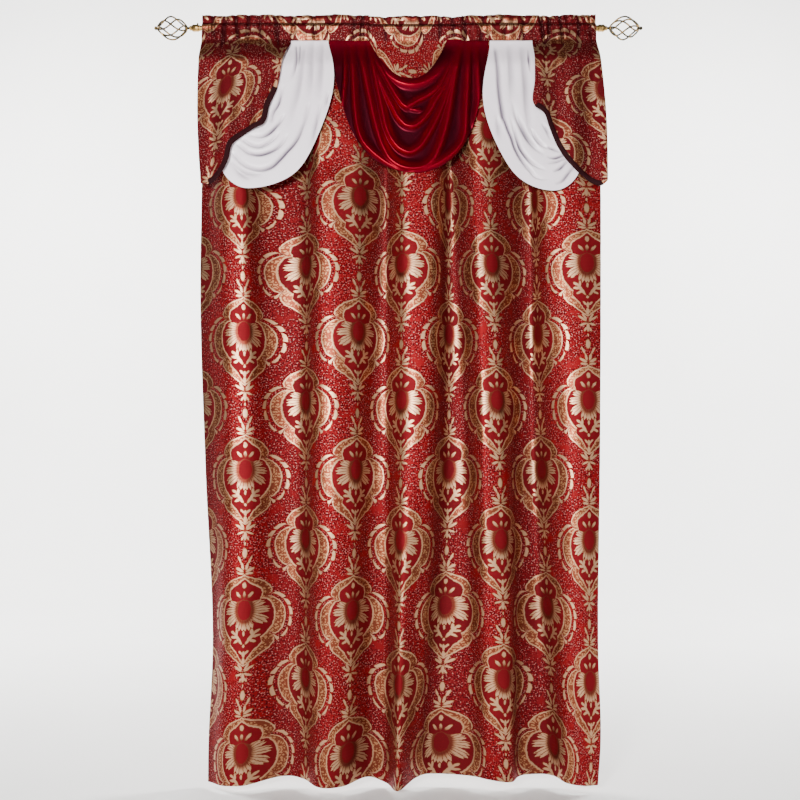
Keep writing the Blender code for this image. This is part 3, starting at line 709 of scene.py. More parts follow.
def make_panel(sizes, material):
    """The panel: hem, hanging folds, rod pocket and header as one cloth."""
    places = np.linspace(0, FOLDS[-1][0] * MM, PANEL_COLUMNS)
    header_x = HEADER_LEFT + (HEADER_RIGHT - HEADER_LEFT) * places / places[-1]
    bottom = HEM_LINE * MM
    heights = np.concatenate((
        np.linspace(bottom, bottom + sizes.hem, HEM_ROWS)[:-1],
        np.linspace(bottom + sizes.hem, PANEL_TOP_ROW * MM, PANEL_ROWS),
    ))
    hung = fold_grid(places, header_x, heights)
    section = smooth_rows(header_section(), HEADER_ROWS)
    rows = []
    for y, z, share in section:
        stand = creases_at(header_x, z) * share * (y < 0 or z > HEADER_STITCH)
        rows.append(np.stack((header_x, y - stand, z + top_waves(header_x, z)), axis=1))
    grid = np.concatenate((hung, np.array(rows)))[::-1]
    down = np.concatenate((heights, POCKET_SEAM + walked(section[:, :2])))[::-1, None]
    yoke = lay_heading(header_x, down)
    straight = pairs(places - PANEL_HEART[0] * MM, down - PANEL_HEART[1] * MM)
    below = np.zeros((len(down) - 1, len(places) - 1), bool)
    below[len(section) + int(np.argmax(heights[::-1] < YOKE_END)) :] = True
    x, y, z = np.moveaxis(grid, -1, 0)
    # Painted shade: darker in the panel's deepest folds below the seam, in the header's gathers, and all over
    # the header above the pocket's seam
    panel_painted_shade = FOLD_SHADE * ease((y - FOLD_SHADE_FROM) / FOLD_SHADE_RUN)
    panel_painted_shade *= ease((POCKET_SEAM - z) / FOLD_SHADE_START)
    panel_painted_shade += gather_shade(x, z) + VALANCE_SHADE * (z > POCKET_SEAM)
    piece = cloth("panel_cloth", grid, yoke, sizes.cloth, other_uv=straight, other_cells=below, painted_shade=panel_painted_shade)
    shown = np.ones((len(down) - 1, len(places) - 1), bool)
    front = section[: HEADER_ROWS // 2 + 1, 1]
    stitch_row = len(section) - 1 - int(np.argmin(np.abs(front - HEADER_STITCH)))
    middle = np.nonzero((header_x > BARE_HEADER[0]) & (header_x < BARE_HEADER[1]))[0]
    note_seam(grid, shown, stitch_row, middle, sizes.cloth)
    note_seam(grid, shown, len(down) - HEM_ROWS, np.arange(1, len(places) - 1), sizes.cloth)
    dress(piece, material, "red_jacquard", "panel")
    return piece


def stand_out(height, near, far):
    """Distance in front of the rod's plane of a layer that leaves the seam and stands out below it."""
    return near + (far - near) * ease((SWAG_TUCK - height) / SWAG_RISE)


def seam_free(x):
    """How much further out the cloth hangs at the seam where the heading runs on into a jabot."""
    inner = [JABOTS[side]["edge"][-1][0] * MM for side in ("left", "right")]
    return SEAM_FREE * ease(np.maximum(inner[0] - x, x - inner[1]) / SEAM_FREE_RUN)


def jabot_y(x, z):
    """The jabot hangs in front of its swag in soft pleats that open downwards from the gathers."""
    deep = JABOT_PLEAT * ease((POCKET_SEAM - z) / JABOT_PLEAT_RISE)
    fade = np.exp(np.clip((z - POCKET_SEAM) / JABOT_GATHER_FADE, None, 0))
    gather = JABOT_GATHER * creases_at(x, POCKET_SEAM) * fade
    wave = np.sin(2 * math.pi * np.abs(x) / JABOT_PLEAT_PITCH)
    return -stand_out(z, SEAM_OUT + seam_free(x), JABOT_OUT) - deep * wave - gather


def jabot_edge(side_name, count):
    """Evenly spaced points on the jabot's smooth edge, x and z, from its lower corner to the seam."""
    points = np.array(JABOTS[side_name]["edge"], float) * MM
    return smooth_rows(points, count)


def band_out(clear, z):
    """How far the heading band stands in front of the rod's plane over the panel's pocket and header."""
    round_pocket = math.sqrt(max(POCKET_RADIUS ** 2 - (z * MM) ** 2, 0))
    return max(PINCH, round_pocket) + BAND_STEP + clear * MM


def make_valance(side_name, sizes, material):
    """One valance half: heading band and jabot in one cloth."""
    outer, inner = (value * MM for value in JABOTS[side_name]["band"])
    edge = jabot_edge(side_name, JABOT_COLUMNS)
    wide = len(edge)
    reach = walked_share(edge)
    count = round(abs(inner - edge[-1, 0]) / BAND_CELL)
    beyond = edge[-1, 0] + (inner - edge[-1, 0]) * np.arange(1, count + 1) / count
    seam_x = np.concatenate((outer + (edge[-1, 0] - outer) * reach, beyond))
    over = [(band_out(clear, z), z * MM, share) for clear, z, share in BAND_SECTION]
    section = smooth_rows(np.array(over + [(SEAM_OUT, POCKET_SEAM, 0.6)]), BAND_ROWS)
    rows = []
    for out, z, share in section:
        out = out + creases_at(seam_x, z) * share
        out += seam_free(seam_x) * ease(z / (POCKET_SEAM - STITCH_RISE))
        rows.append(np.stack((seam_x, -out, z + top_waves(seam_x, z)), axis=1))
    seam = rows[-1]
    swell = math.copysign(JABOT_SWELL, outer) * (1 - reach) ** 2
    for share in np.linspace(0, 1, JABOT_ROWS)[1:]:
        x = seam_x[:wide] * (1 - share) + edge[:, 0] * share + swell * math.sin(math.pi * share)
        z = POCKET_SEAM * (1 - share) + edge[:, 1] * share
        row = np.stack((x, jabot_y(x, z), z), axis=1)
        rows.append(np.concatenate((row, seam[wide:])))
    grid = np.array(rows)
    flat_z = grid[..., 2].copy()
    flat_z[: len(section)] = (POCKET_SEAM + walked(section[::-1, :2])[::-1])[:, None]
    shown = np.ones((len(rows) - 1, len(seam_x) - 1), bool)
    shown[len(section) - 1 :, wide - 1 :] = False
    below = (grid[1:, 1:, 2] + grid[:-1, :-1, 2]) / 2 < JABOT_PATTERN_TOP
    turn = slice(None, None, 1 if outer < 0 else -1)
    # The last argument is painted shade: the header's gathers, and the valance's shade all over
    piece = cloth(
        f"valance_{side_name}_cloth",
        grid[:, turn],
        lay_heading(grid[..., 0], flat_z)[:, turn],
        sizes.cloth,
        shown[:, turn],
        lay(grid[..., 0], flat_z, **LAY_JABOTS[side_name])[:, turn],
        below[:, turn],
        gather_shade(grid[..., 0], grid[..., 2])[:, turn] + VALANCE_SHADE,
    )
    dress(piece, material, "red_jacquard", f"valance_{side_name}")
    top = int(np.argmin(np.abs(section[:, 1] - HEADER_STITCH)))
    low = int(np.argmin(np.abs(section[:, 1] - POCKET_SEAM - STITCH_RISE)))
    grid, shown = grid[:, turn], shown[:, turn]
    note_seam(grid, shown, top, slice(None), sizes.cloth)
    note_seam(grid, shown, low, slice(None), sizes.cloth)
    return piece


def make_binding(side_name, sizes, material):
    """The binding folded round the jabot's slanted edge, a little padded."""
    low, high = JABOTS[side_name]["bound"]
    edge = jabot_edge(side_name, BINDING_COLUMNS)
    run = np.gradient(edge, axis=0)
    run /= np.linalg.norm(run, axis=1, keepdims=True)
    inward = np.stack((-run[:, 1], run[:, 0]), axis=1)
    inward *= np.where(inward[:, 1:] < 0, -1, 1)
    share = walked_share(edge)
    kept = (share >= low) & (share <= high)
    edge, inward = edge[kept], inward[kept]
    half = sizes.cloth / 2
    rows = []
    for across, out in BINDING_SECTION:
        flat = edge + inward * across * MM
        y = jabot_y(flat[:, 0], flat[:, 1]) - math.copysign(half, out) - out * MM
        rows.append(np.stack((flat[:, 0], y, flat[:, 1]), axis=1))
    grid = np.array(rows)
    if edge[0, 0] > 0:
        grid = grid[:, ::-1]
    along = walked(grid[0][:, [0, 2]])
    uv = pairs(along, np.array(BINDING_SECTION)[:, :1] * MM)
    piece = cloth(f"binding_{side_name}_tape", grid, uv, sizes.binding)
    dress(piece, material, "dark_binding", f"binding_{side_name}")
    return piece


def folds_at(folds, x, z, lower):
    """How far a swag's folds stand out or lie in at each point, in mm, and how plainly, from 0 to 1, which
    sets the swag's painted shade.

    Each fold follows a smooth line through its points and is sharper on its lower side.
    """
    spot = np.stack((x, z), axis=-1) / MM
    high, low, shown = (np.zeros_like(x) for _ in range(3))
    for half, heights, line in folds:
        line = smooth_rows(np.array(line, float), FOLD_POINTS)
        run = np.gradient(line, axis=0)
        step = np.linalg.norm(run, axis=1)
        run /= step[:, None]
        offset = spot[..., None, :] - line
        nearest = np.argmin((offset ** 2).sum(axis=-1), axis=-1)
        offset = np.take_along_axis(offset, nearest[..., None, None], axis=2)[..., 0, :]
        run, step = run[nearest], step[nearest]
        beside = lower * (run[..., 0] * offset[..., 1] - run[..., 1] * offset[..., 0])
        share = (nearest + (run * offset).sum(axis=-1) / step) / (FOLD_POINTS - 1)
        past = np.clip(np.abs(share - 0.5) - 0.5, 0, None) * (FOLD_POINTS - 1) * step / (FOLD_END * half)
        side = np.where(beside > 0, FOLD_SHARP, FOLD_SOFT)
        form = np.exp(-((beside / half / side) ** 2) - past ** 2)
        height = through((0, 0.5, 1), heights, np.clip(share, 0, 1)) * form
        high, low = np.maximum(high, height), np.minimum(low, height)
        shown = np.maximum(shown, np.abs(height) / FOLD_SHOWN)
    return high + low, np.clip(shown, 0, 1)


def make_swag(name, sizes, material, slot):
    """A swag: satin hung between two gathered ends, its folds placed one by one."""
    shape = SWAGS[name]
    turn = np.linspace(0, math.pi, SWAG_COLUMNS)
    across = np.broadcast_to((1 - np.cos(turn)) / 2, (SWAG_ROWS, SWAG_COLUMNS))
    place = np.broadcast_to(np.linspace(0, 1, SWAG_ROWS)[:, None], across.shape)
    low = shape["low"]
    on_left = across < low
    way = np.where(on_left, (low - across) / low, (across - low) / (1 - low))
    left, right, drop = (
        shape[key][0] + (shape[key][1] - shape[key][0]) * place for key in ("left", "right", "drop")
    )
    places, powers = (list(column) for column in zip(*shape["inner"]))
    power = np.where(on_left, *(through(places + [1], powers + [steep], place) for steep in shape["steep"]))
    arc = shape["arc"] * ease((place - 0.5) / 0.5)
    hang = 1 - arc * way ** 2 - (1 - arc) * way ** power
    amount, rise, fall = shape["swell"]
    most = (rise / (rise + fall)) ** rise * (fall / (rise + fall)) ** fall
    swell = np.where(on_left == (amount < 0), amount / most, 0) * place * hang ** rise * (1 - hang) ** fall
    x = (left + (right - left) * across + swell) * MM
    z = SWAG_TUCK - drop * hang * MM
    stand, shown = folds_at(shape["folds"], x, z, shape["lower"])
    reach = shape["out"] * (1 - shape["ends"] * way ** 3) + stand * ease(hang * shape["fade"])
    y = -stand_out(z + SWAG_LAG, SWAG_BACK, SWAG_BACK + reach * MM)
    grid = np.stack((x, y, z), axis=-1)
    down, along = walked(grid[:, SWAG_COLUMNS // 2]), walked(grid[SWAG_ROWS // 2])
    uv = pairs(along, -down[:, None])
    # Painted shade: between raised folds, a little less near the gathered ends at the top; in the creases of
    # folds that lie in
    painted_shade = (1 - shown) * (0.5 + 0.5 * ease(hang * 3)) if shape["raised"] else shown
    piece = cloth(name + "_satin", grid, uv, sizes.satin, painted_shade=painted_shade ** 1.5)
    dress(piece, material, slot, name)
    width, drop, area = SWAG_CUT[name]
    return piece


def turned(outline, side, steps):
    """Points and faces of a solid turned about X from (x, radius) points, closed at both ends."""
    turns = 2 * math.pi * np.arange(steps) / steps
    points, faces = [], []
    for x, radius in outline:
        points += [(side * x, radius * math.cos(a), radius * math.sin(a)) for a in turns]
    for ring in range(len(outline) - 1):
        for k in range(steps):
            a, b = ring * steps + k, ring * steps + (k + 1) % steps
            faces.append((a, b, b + steps, a + steps) if side > 0 else (a + steps, b + steps, b, a))
    first = list(range(steps))
    last = [k + (len(outline) - 1) * steps for k in first]
    faces += [first[::-1], last] if side > 0 else [first, last[::-1]]
    return points, faces


def tree_with_inputs(name, inputs):
    """A geometry node tree with the named inputs, and its input and output nodes."""
    tree = bpy.data.node_groups.new(name, "GeometryNodeTree")
    tree.interface.new_socket("Geometry", in_out="OUTPUT", socket_type="NodeSocketGeometry")
    for label, kind in inputs.items():
        tree.interface.new_socket(label, in_out="INPUT", socket_type="NodeSocket" + kind)
    return tree, add(tree, "NodeGroupInput").outputs, add(tree, "NodeGroupOutput")


def run_tree(name, tree, values, data):
    """The plain mesh object that a geometry node tree makes from its inputs' values."""
    thing = put_in_scene(name, data)
    modifier = thing.modifiers.new("make", "NODES")
    modifier.node_group = tree
    for item in tree.interface.items_tree:
        if item.in_out == "INPUT" and item.name in values:
            modifier[item.identifier] = values[item.name]
    bpy.context.view_layer.update()
    made = bpy.data.meshes.new_from_object(thing.evaluated_get(bpy.context.evaluated_depsgraph_get()))
    thing.modifiers.remove(modifier)
    thing.data = made
    made.name = name
    return thing


def end_tree(tree, copies, material, out):
    """Makes the copies real, smooth-shaded and finished, as the tree's result."""
    real = add(tree, "GeometryNodeRealizeInstances", {"Geometry": copies})
    smooth = add(tree, "GeometryNodeSetShadeSmooth", {"Geometry": real})
    dressed = add(tree, "GeometryNodeSetMaterial", {"Geometry": smooth, "Material": material})
    tree.links.new(dressed.outputs[0], out.inputs[0])


def wires_tree():
    """Geometry nodes for a cage: wires that bulge and wind as they run along X from neck to tip."""
    tree, given, out = tree_with_inputs("Cage wires", {
        "Geometry": "Geometry", "Wires": "Int", "Start": "Float", "Length": "Float", "End radius": "Float",
        "Bulge": "Float", "Twist": "Float", "Wire radius": "Float", "Finish": "Material",
    })
    line = add(tree, "GeometryNodeCurvePrimitiveLine", {"End": (1, 0, 0)})
    fine = add(tree, "GeometryNodeResampleCurve", {"Curve": line, "Count": WIRE_POINTS})
    made = {socket.name: socket for socket in given if socket.name}
    made["along"] = add(tree, "GeometryNodeSplineParameter")
    made["number"] = add(tree, "GeometryNodeInputIndex")
    for name, operation, *values in (
        ("arch", "MULTIPLY", "along", math.pi),
        ("arch", "SINE", "arch"),
        ("arch", "MAXIMUM", "arch", 0.0),
        ("arch", "POWER", "arch", CAGE_FULLNESS),
        ("radius", "MULTIPLY_ADD", "arch", "Bulge", "End radius"),
        ("angle", "MULTIPLY", "along", "Twist"),
        ("y", "COSINE", "angle"),
        ("y", "MULTIPLY", "y", "radius"),
        ("z", "SINE", "angle"),
        ("z", "MULTIPLY", "z", "radius"),
        ("x", "MULTIPLY_ADD", "along", "Length", "Start"),
        ("step", "DIVIDE", 2 * math.pi, "Wires"),
        ("turn", "MULTIPLY", "number", "step"),
    ):
        inputs = {k: made.get(value, value) for k, value in enumerate(values)}
        made[name] = add(tree, "ShaderNodeMath", inputs, operation=operation)
    place = add(tree, "ShaderNodeCombineXYZ", {0: made["x"], 1: made["y"], 2: made["z"]})
    wound = add(tree, "GeometryNodeSetPosition", {"Geometry": fine, "Position": place})
    ring = add(tree, "GeometryNodeCurvePrimitiveCircle",
               {"Resolution": WIRE_SIDES, "Radius": given["Wire radius"]})
    wire = add(tree, "GeometryNodeCurveToMesh", {"Curve": wound, "Profile Curve": ring, "Fill Caps": True})
    spots = add(tree, "GeometryNodeMeshLine", {"Count": given["Wires"], "Offset": (0, 0, 0)})
    turned_to = add(tree, "ShaderNodeCombineXYZ", {0: made["turn"]})
    cage = add(tree, "GeometryNodeInstanceOnPoints",
               {"Points": spots, "Instance": wire, "Rotation": turned_to})
    end_tree(tree, cage, given["Finish"], out)
    return tree


def make_finial(side_name, side, tree, sizes, material):
    """A finial: neck, cage of winding wires and tip ball."""
    name = f"finial_{side_name}"
    wire = sizes.wire / 2
    cage = run_tree(name, tree, {
        "Wires": WIRES,
        "Start": side * (CAGE_START + WIRE_SET_IN),
        "Length": side * (CAGE_LENGTH - 2 * WIRE_SET_IN),
        "End radius": CAGE_END_RADIUS,
        "Bulge": CAGE_RADIUS - wire - CAGE_END_RADIUS,
        "Twist": side * WIRE_TWIST,
        "Wire radius": wire,
        "Finish": material,
    }, bpy.data.meshes.new(name + "_start"))
    points = [tuple(v.co) for v in cage.data.vertices]
    faces = [tuple(f.vertices) for f in cage.data.polygons]
    for outline in (NECK_OUTLINE, TIP_OUTLINE):
        more, cells = turned([(x * MM, radius * MM) for x, radius in outline], side, ROUND_STEPS)
        faces += [tuple(k + len(points) for k in cell) for cell in cells]
        points += more
    cage.data = smooth_mesh(name, points, faces)
    cage.data.set_sharp_from_angle(angle=SHARP_METAL)
    dress(cage, material, "antique_brass", f"cage_{side_name}")
    return cage


def stitches_tree():
    """Geometry nodes for a row of stitches along a line of edges."""
    tree, given, out = tree_with_inputs("Row of stitches", {
        "Geometry": "Geometry", "Pitch": "Float", "Stitch": "Float", "Thread radius": "Float",
        "Thread": "Material",
    })
    curve = add(tree, "GeometryNodeMeshToCurve", {"Mesh": given["Geometry"]})
    spaced = add(tree, "GeometryNodeResampleCurve", {"Curve": curve, "Length": given["Pitch"]},
                 mode="LENGTH")
    tangent = add(tree, "GeometryNodeInputTangent")
    facing = add(tree, "FunctionNodeAlignRotationToVector", {"Vector": tangent}, axis="Z")
    bar = add(tree, "GeometryNodeMeshCylinder", {
        "Vertices": THREAD_SIDES, "Radius": given["Thread radius"], "Depth": given["Stitch"],
    })
    sewn = add(tree, "GeometryNodeInstanceOnPoints",
               {"Points": spaced, "Instance": bar, "Rotation": facing})
    end_tree(tree, sewn, given["Thread"], out)
    return tree


def note_seam(grid, shown, row, columns, thickness):
    """Keeps a line of the cloth's front skin for the stitches."""
    out = grid_normals(grid, shown)[row, columns]
    line = grid[row, columns] + out * (thickness / 2 + 0.1 * MM) + np.array((CLOTH_SHIFT, 0, 0))
    sewing_lines.append(line)


def make_stitches(sizes, material):
    """All rows of stitches as one piece."""
    points, edges = [], []
    for line in sewing_lines:
        edges += [(len(points) + k, len(points) + k + 1) for k in range(len(line) - 1)]
        points += [tuple(p) for p in line]
    piece = run_tree("stitches", stitches_tree(), {
        "Pitch": sizes.stitch_pitch,
        "Stitch": sizes.stitch,
        "Thread radius": sizes.thread / 2,
        "Thread": material,
    }, smooth_mesh("seams", points, [], edges))
    dress(piece, material, "red_jacquard")
    return piece


def new_material(name):
    """An empty node material and its tree."""
    material = bpy.data.materials.new(name)
    material.use_nodes = True
    material.node_tree.nodes.clear()
    return material, material.node_tree


def end_material(tree, mask, low, high, looks):
    """Ends a material: a surface with the given looks, and two colours mixed by a mask."""
    shade = add(tree, "ShaderNodeMix", {"Factor": mask, "A": low, "B": (*high, 1)}, data_type="RGBA")
    shader = add(tree, "ShaderNodeBsdfPrincipled", {"Base Color": shade.outputs["Result"], **looks})
    add(tree, "ShaderNodeOutputMaterial", {"Surface": shader})


def outline_reach(tree, direction, table):
    """How far out one of the medallion's outlines lies, in mm, for a direction from 0 to 1."""
    curve = add(tree, "ShaderNodeFloatCurve", {"Factor": 1.0, "Value": direction})
    line = curve.mapping.curves[0]
    spots = [(degrees / 180, reach / REACH) for degrees, reach in table]
    line.points[0].location = spots[0]
    line.points[1].location = spots[-1]
    for spot in spots[1:-1]:
        line.points.new(*spot)
    for point in line.points:
        point.handle_type = "VECTOR"
    curve.mapping.update()
    return add(tree, "ShaderNodeMath", {0: curve, 1: REACH}, operation="MULTIPLY")


def cell_place(tree):
    """Place in mm from the nearest medallion's centre, in a half-drop repeat, on the flat cloth."""
    flat = add(tree, "ShaderNodeUVMap", uv_map="flat")
    into = {
        "Location": (-CELL_DROP / 2, CELL_DROP / 2, 0),
        "Rotation": (0, 0, math.radians(45)),
        "Scale": (1 / (REPEAT_ACROSS / 2 * math.sqrt(2)), 1 / (REPEAT_DOWN / 2 * math.sqrt(2)), 1),
    }
    turned_in = add(tree, "ShaderNodeMapping", {"Vector": flat, **into}, vector_type="POINT")
    nearest = add(tree, "ShaderNodeVectorMath",
                  {0: turned_in, 1: (0.5, 0.5, 0.5), 2: (-0.5, -0.5, -0.5)}, operation="WRAP")
    back = add(tree, "ShaderNodeMapping", {"Vector": nearest, **into}, vector_type="TEXTURE")
    wobble = add(tree, "ShaderNodeTexNoise", {"Vector": flat, "Scale": 1 / WOBBLE_CELL, "Detail": 1.0})
    wobble = add(tree, "ShaderNodeVectorMath",
                 {0: wobble.outputs["Color"], 1: (0.5, 0.5, 0.5)}, operation="SUBTRACT")
    wobble = add(tree, "ShaderNodeVectorMath", {0: wobble, "Scale": 4.0}, operation="SCALE")
    place = add(tree, "ShaderNodeVectorMath", {0: back, 1: (1000, 1000, 0), 2: wobble},
                operation="MULTIPLY_ADD")
    parts = add(tree, "ShaderNodeSeparateXYZ", {0: place})
    across = add(tree, "ShaderNodeMath", {0: parts.outputs[0]}, operation="ABSOLUTE")
    return flat, across, parts.outputs[1]


def ellipse_share(tree, place, x, y, half_width, half_length, turn):
    """1 on the ellipse, less inside it."""
    local = add(tree, "ShaderNodeMapping", {
        "Vector": place,
        "Location": (x, y, 0),
        "Rotation": (0, 0, -math.radians(turn)),
        "Scale": (half_width, half_length, 1),
    }, vector_type="TEXTURE")
    return add(tree, "ShaderNodeVectorMath", {0: local}, operation="LENGTH").outputs["Value"]


def jacquard(colours):
    """Woven damask jacquard: matt red ground with pale slubs, tan satin-weave figures that catch the
    light, and orange-brown threads where the weave changes over."""
    material, tree = new_material("woven damask jacquard")
    flat, across, down = cell_place(tree)
    place = add(tree, "ShaderNodeCombineXYZ", {0: across, 1: down, 2: 0.0})
    turn = add(tree, "ShaderNodeMath", {0: across, 1: down}, operation="ARCTAN2")
    turn = add(tree, "ShaderNodeMath", {0: turn, 1: 1 / math.pi}, operation="MULTIPLY")
    sprays = [ellipse_share(tree, place, *row) for row in SPRAYS]
    spray = sprays[0]
    for other in sprays[1:]:
        spray = add(tree, "ShaderNodeMath", {0: spray, 1: other}, operation="MINIMUM")
    made = {
        "turn": turn,
        "spray": spray,
        "out": add(tree, "ShaderNodeVectorMath", {0: place}, operation="LENGTH").outputs["Value"],
        "inner": outline_reach(tree, turn, INNER_LINE),
        "outer": outline_reach(tree, turn, BAND_LINE),
        "flower": outline_reach(tree, turn, FLOWER_LINE),
        "leaf": outline_reach(tree, turn, LEAF_LINE),
        "heart": ellipse_share(tree, place, 0, 0, HEART_HALF_WIDTH, HEART_HALF_LENGTH, 0),
        "painted_shade": add(tree, "ShaderNodeAttribute", attribute_name="painted_shade").outputs["Fac"],
    }
    # Slubs in clusters on the ground, and scrolls in the bands. The slubs are real floats about 2 mm
    # long, drawn a little longer so that they show
    for name, cell, detail in (
        ("cloud", CLOUD_CELL, 3.0), ("slub", FLECK_CELL, 1.0), ("scroll", SCROLL_CELL, 0.0),
    ):
        made[name] = add(tree, "ShaderNodeTexNoise", {"Vector": flat, "Scale": 1 / cell, "Detail": detail})

    # How deep inside each figure a point lies, in mm
    for name, operation, *values in (
        ("past_inner", "SUBTRACT", "out", "inner"),
        ("to_outer", "SUBTRACT", "outer", "out"),
        ("band", "MINIMUM", "past_inner", "to_outer"),
        ("petals", "SUBTRACT", "flower", "out"),
        ("to_leaf", "SUBTRACT", "leaf", "out"),
        ("past_gap", "SUBTRACT", -LEAF_GAP, "to_outer"),
        ("leaves", "MINIMUM", "to_leaf", "past_gap"),
        ("sprays", "MULTIPLY_ADD", "spray", -SPRAY_DEPTH, SPRAY_DEPTH),
        ("past_heart", "MULTIPLY_ADD", "heart", HEART_HALF_WIDTH, -HEART_HALF_WIDTH),
        ("flowers", "MAXIMUM", "petals", "sprays"),
        ("flowers", "MAXIMUM", "flowers", "leaves"),
        ("figure", "MAXIMUM", "band", "flowers"),
        ("figure", "MINIMUM", "figure", "past_heart"),
        ("outer_line", "SUBTRACT", "to_outer", LINE_HALF + 1.0),
        ("outer_line", "ABSOLUTE", "outer_line"),
        ("line", "ABSOLUTE", "past_inner"),
        ("line", "MINIMUM", "line", "outer_line"),
        ("scroll", "SUBTRACT", "scroll", 0.5),
        ("scroll", "ABSOLUTE", "scroll"),
        ("veins", "MULTIPLY", "turn", math.pi * VEINS),
        ("veins", "SINE", "veins"),
    ):
        inputs = {k: made.get(value, value) for k, value in enumerate(values)}
        made[name] = add(tree, "ShaderNodeMath", inputs, operation=operation)

    # Where each colour lies: 0 up to the first value, 1 from the second on
    for name, value, start, end in (
        ("patch", "cloud", 0.30, 0.45),
        ("fleck", "slub", 0.615, 0.675),
        ("dye", "slub", 0.50, 0.40),
        ("within", "past_inner", 0.5, -0.5),
        ("rim", "figure", 0.2, EDGE_THREADS),
        ("pale", "flowers", 0.5, 2.5),
        ("opened", "past_heart", 4.0, 17.0),
        ("scroll", "scroll", 0.15, 0.10),
        ("in_band", "band", 2.8, 3.8),
        ("veins", "veins", 0.5, 0.95),
        ("in_petals", "petals", 2.0, 5.0),
        ("on_figure", "figure", -0.4, 0.4),
        ("line", "line", LINE_HALF + 0.5, LINE_HALF - 0.3),
    ):
        made[name] = add(tree, "ShaderNodeMapRange", {
            "Value": made[value], "From Min": start, "From Max": end,
        }, interpolation_type="SMOOTHSTEP")
    for name, operation, *values in (
        ("fleck", "MULTIPLY", "fleck", "patch"),
        ("dye", "MULTIPLY", "dye", "patch"),
        ("pale", "MULTIPLY", "pale", "opened"),
        ("scroll", "MULTIPLY", "scroll", "in_band"),
        ("veins", "MULTIPLY", "veins", "in_petals"),
        ("drawn", "MAXIMUM", "scroll", "veins"),
        ("drawn", "MULTIPLY", "drawn", 0.85),
        # Painted shade in the folds, the gathers and over the valance, as each point's attribute gives it;
        # the ground gets more of it than the raised pale floats
        ("raised", "MAXIMUM", "on_figure", "fleck"),
        ("depth", "MULTIPLY_ADD", "raised", -0.6, 1.0),
        ("depth", "MULTIPLY", "depth", "painted_shade"),
    ):
        inputs = {k: made.get(value, value) for k, value in enumerate(values)}
        made[name] = add(tree, "ShaderNodeMath", inputs, operation=operation)

    # Threads over threads: mask, what lies under it and what lies on it
    for name, mask, under, over in (
        ("ground", "dye", colours.ground, colours.shade),
        ("ground", "fleck", "ground", colours.fleck),
        ("ground", "within", "ground", colours.inside),
        ("tan", "opened", colours.edge, colours.figure),
        ("tan", "pale", "tan", colours.petal),
        ("tan", "rim", colours.edge, "tan"),
        ("tan", "drawn", "tan", colours.scroll),
        ("woven", "on_figure", "ground", "tan"),
        ("woven", "line", "woven", colours.line),
    ):
        under, over = (made[part] if isinstance(part, str) else (*part, 1) for part in (under, over))
        mixed = add(tree, "ShaderNodeMix", {"Factor": made[mask], "A": under, "B": over}, data_type="RGBA")
        made[name] = mixed.outputs["Result"]

    # Weft ribs: real threads lie 0.45 mm apart, too fine to show; drawn as faint bands
    ribs = add(tree, "ShaderNodeTexWave", {
        "Vector": flat, "Scale": 2 * math.pi / WAVE_TURNS / RIB_PITCH, "Distortion": 0.6,
    }, bands_direction="Y")
    height = add(tree, "ShaderNodeMath", {0: made["on_figure"], 1: 1.6, 2: ribs.outputs["Fac"]},
                 operation="MULTIPLY_ADD")
    # Long floats of the figures shine only where a fold faces the light
    gloss = add(tree, "ShaderNodeMapRange", {"Value": made["on_figure"], "To Min": 0.55, "To Max": 0.40})
    sheen = add(tree, "ShaderNodeMapRange", {"Value": made["on_figure"], "To Min": 0.5, "To Max": 0.80})
    # Painted shade: the woven colour goes towards the shade colour as far as the mask above says
    end_material(tree, made["depth"], made["woven"], colours.shade, {
        "Roughness": gloss,
        "Metallic": sheen,
        "Specular IOR Level": 0.05,
        "Normal": add(tree, "ShaderNodeBump", {"Strength": 0.35, "Distance": 0.25 * MM, "Height": height}),
    })
    return material


def satin(name, colour_value, painted_shade_colour, roughness, metallic, gloss):
    """Warp-faced satin: long floats give sharp streaks of light along the folds, and painted shade makes its
    creases darker and deeper in colour; a fine crumple lies between."""
    material, tree = new_material(name)
    flat = add(tree, "ShaderNodeUVMap", uv_map="flat")
    painted_shade = add(tree, "ShaderNodeAttribute", attribute_name="painted_shade").outputs["Fac"]
    crumple = add(tree, "ShaderNodeTexNoise", {"Vector": flat, "Scale": 1 / CRUMPLE_CELL, "Detail": 3.0})
    floats = add(tree, "ShaderNodeMapping", {"Vector": flat, "Scale": FLOATS})
    floats = add(tree, "ShaderNodeTexNoise", {"Vector": floats, "Scale": 1.0, "Detail": 0.0})
    height = add(tree, "ShaderNodeMath", {0: floats, 1: 0.12, 2: crumple}, operation="MULTIPLY_ADD")
    # Painted shade: the satin's colour goes towards its shade colour in the creases
    end_material(tree, painted_shade, (*colour_value, 1), painted_shade_colour, {
        "Roughness": roughness,
        "Metallic": metallic,
        "Specular IOR Level": gloss,
        "Normal": add(tree, "ShaderNodeBump", {"Strength": 0.3, "Distance": 1.5 * MM, "Height": height}),
    })
    return material


def woven_tape(name, colour_value):
    """Plain woven tape or thread: matt, with a fine grain of threads in their own shade."""
    material, tree = new_material(name)
    spot = add(tree, "ShaderNodeTexCoord").outputs["Object"]
    grain = add(tree, "ShaderNodeTexNoise", {"Vector": spot, "Scale": 1 / TAPE_GRAIN})
    end_material(tree, grain, (*colour_value, 1), [c * 0.5 for c in colour_value], {
        "Roughness": 0.75,
        "Specular IOR Level": 0.1,
        "Normal": add(tree, "ShaderNodeBump", {"Strength": 0.4, "Distance": 0.3 * MM, "Height": grain}),
    })
    return material


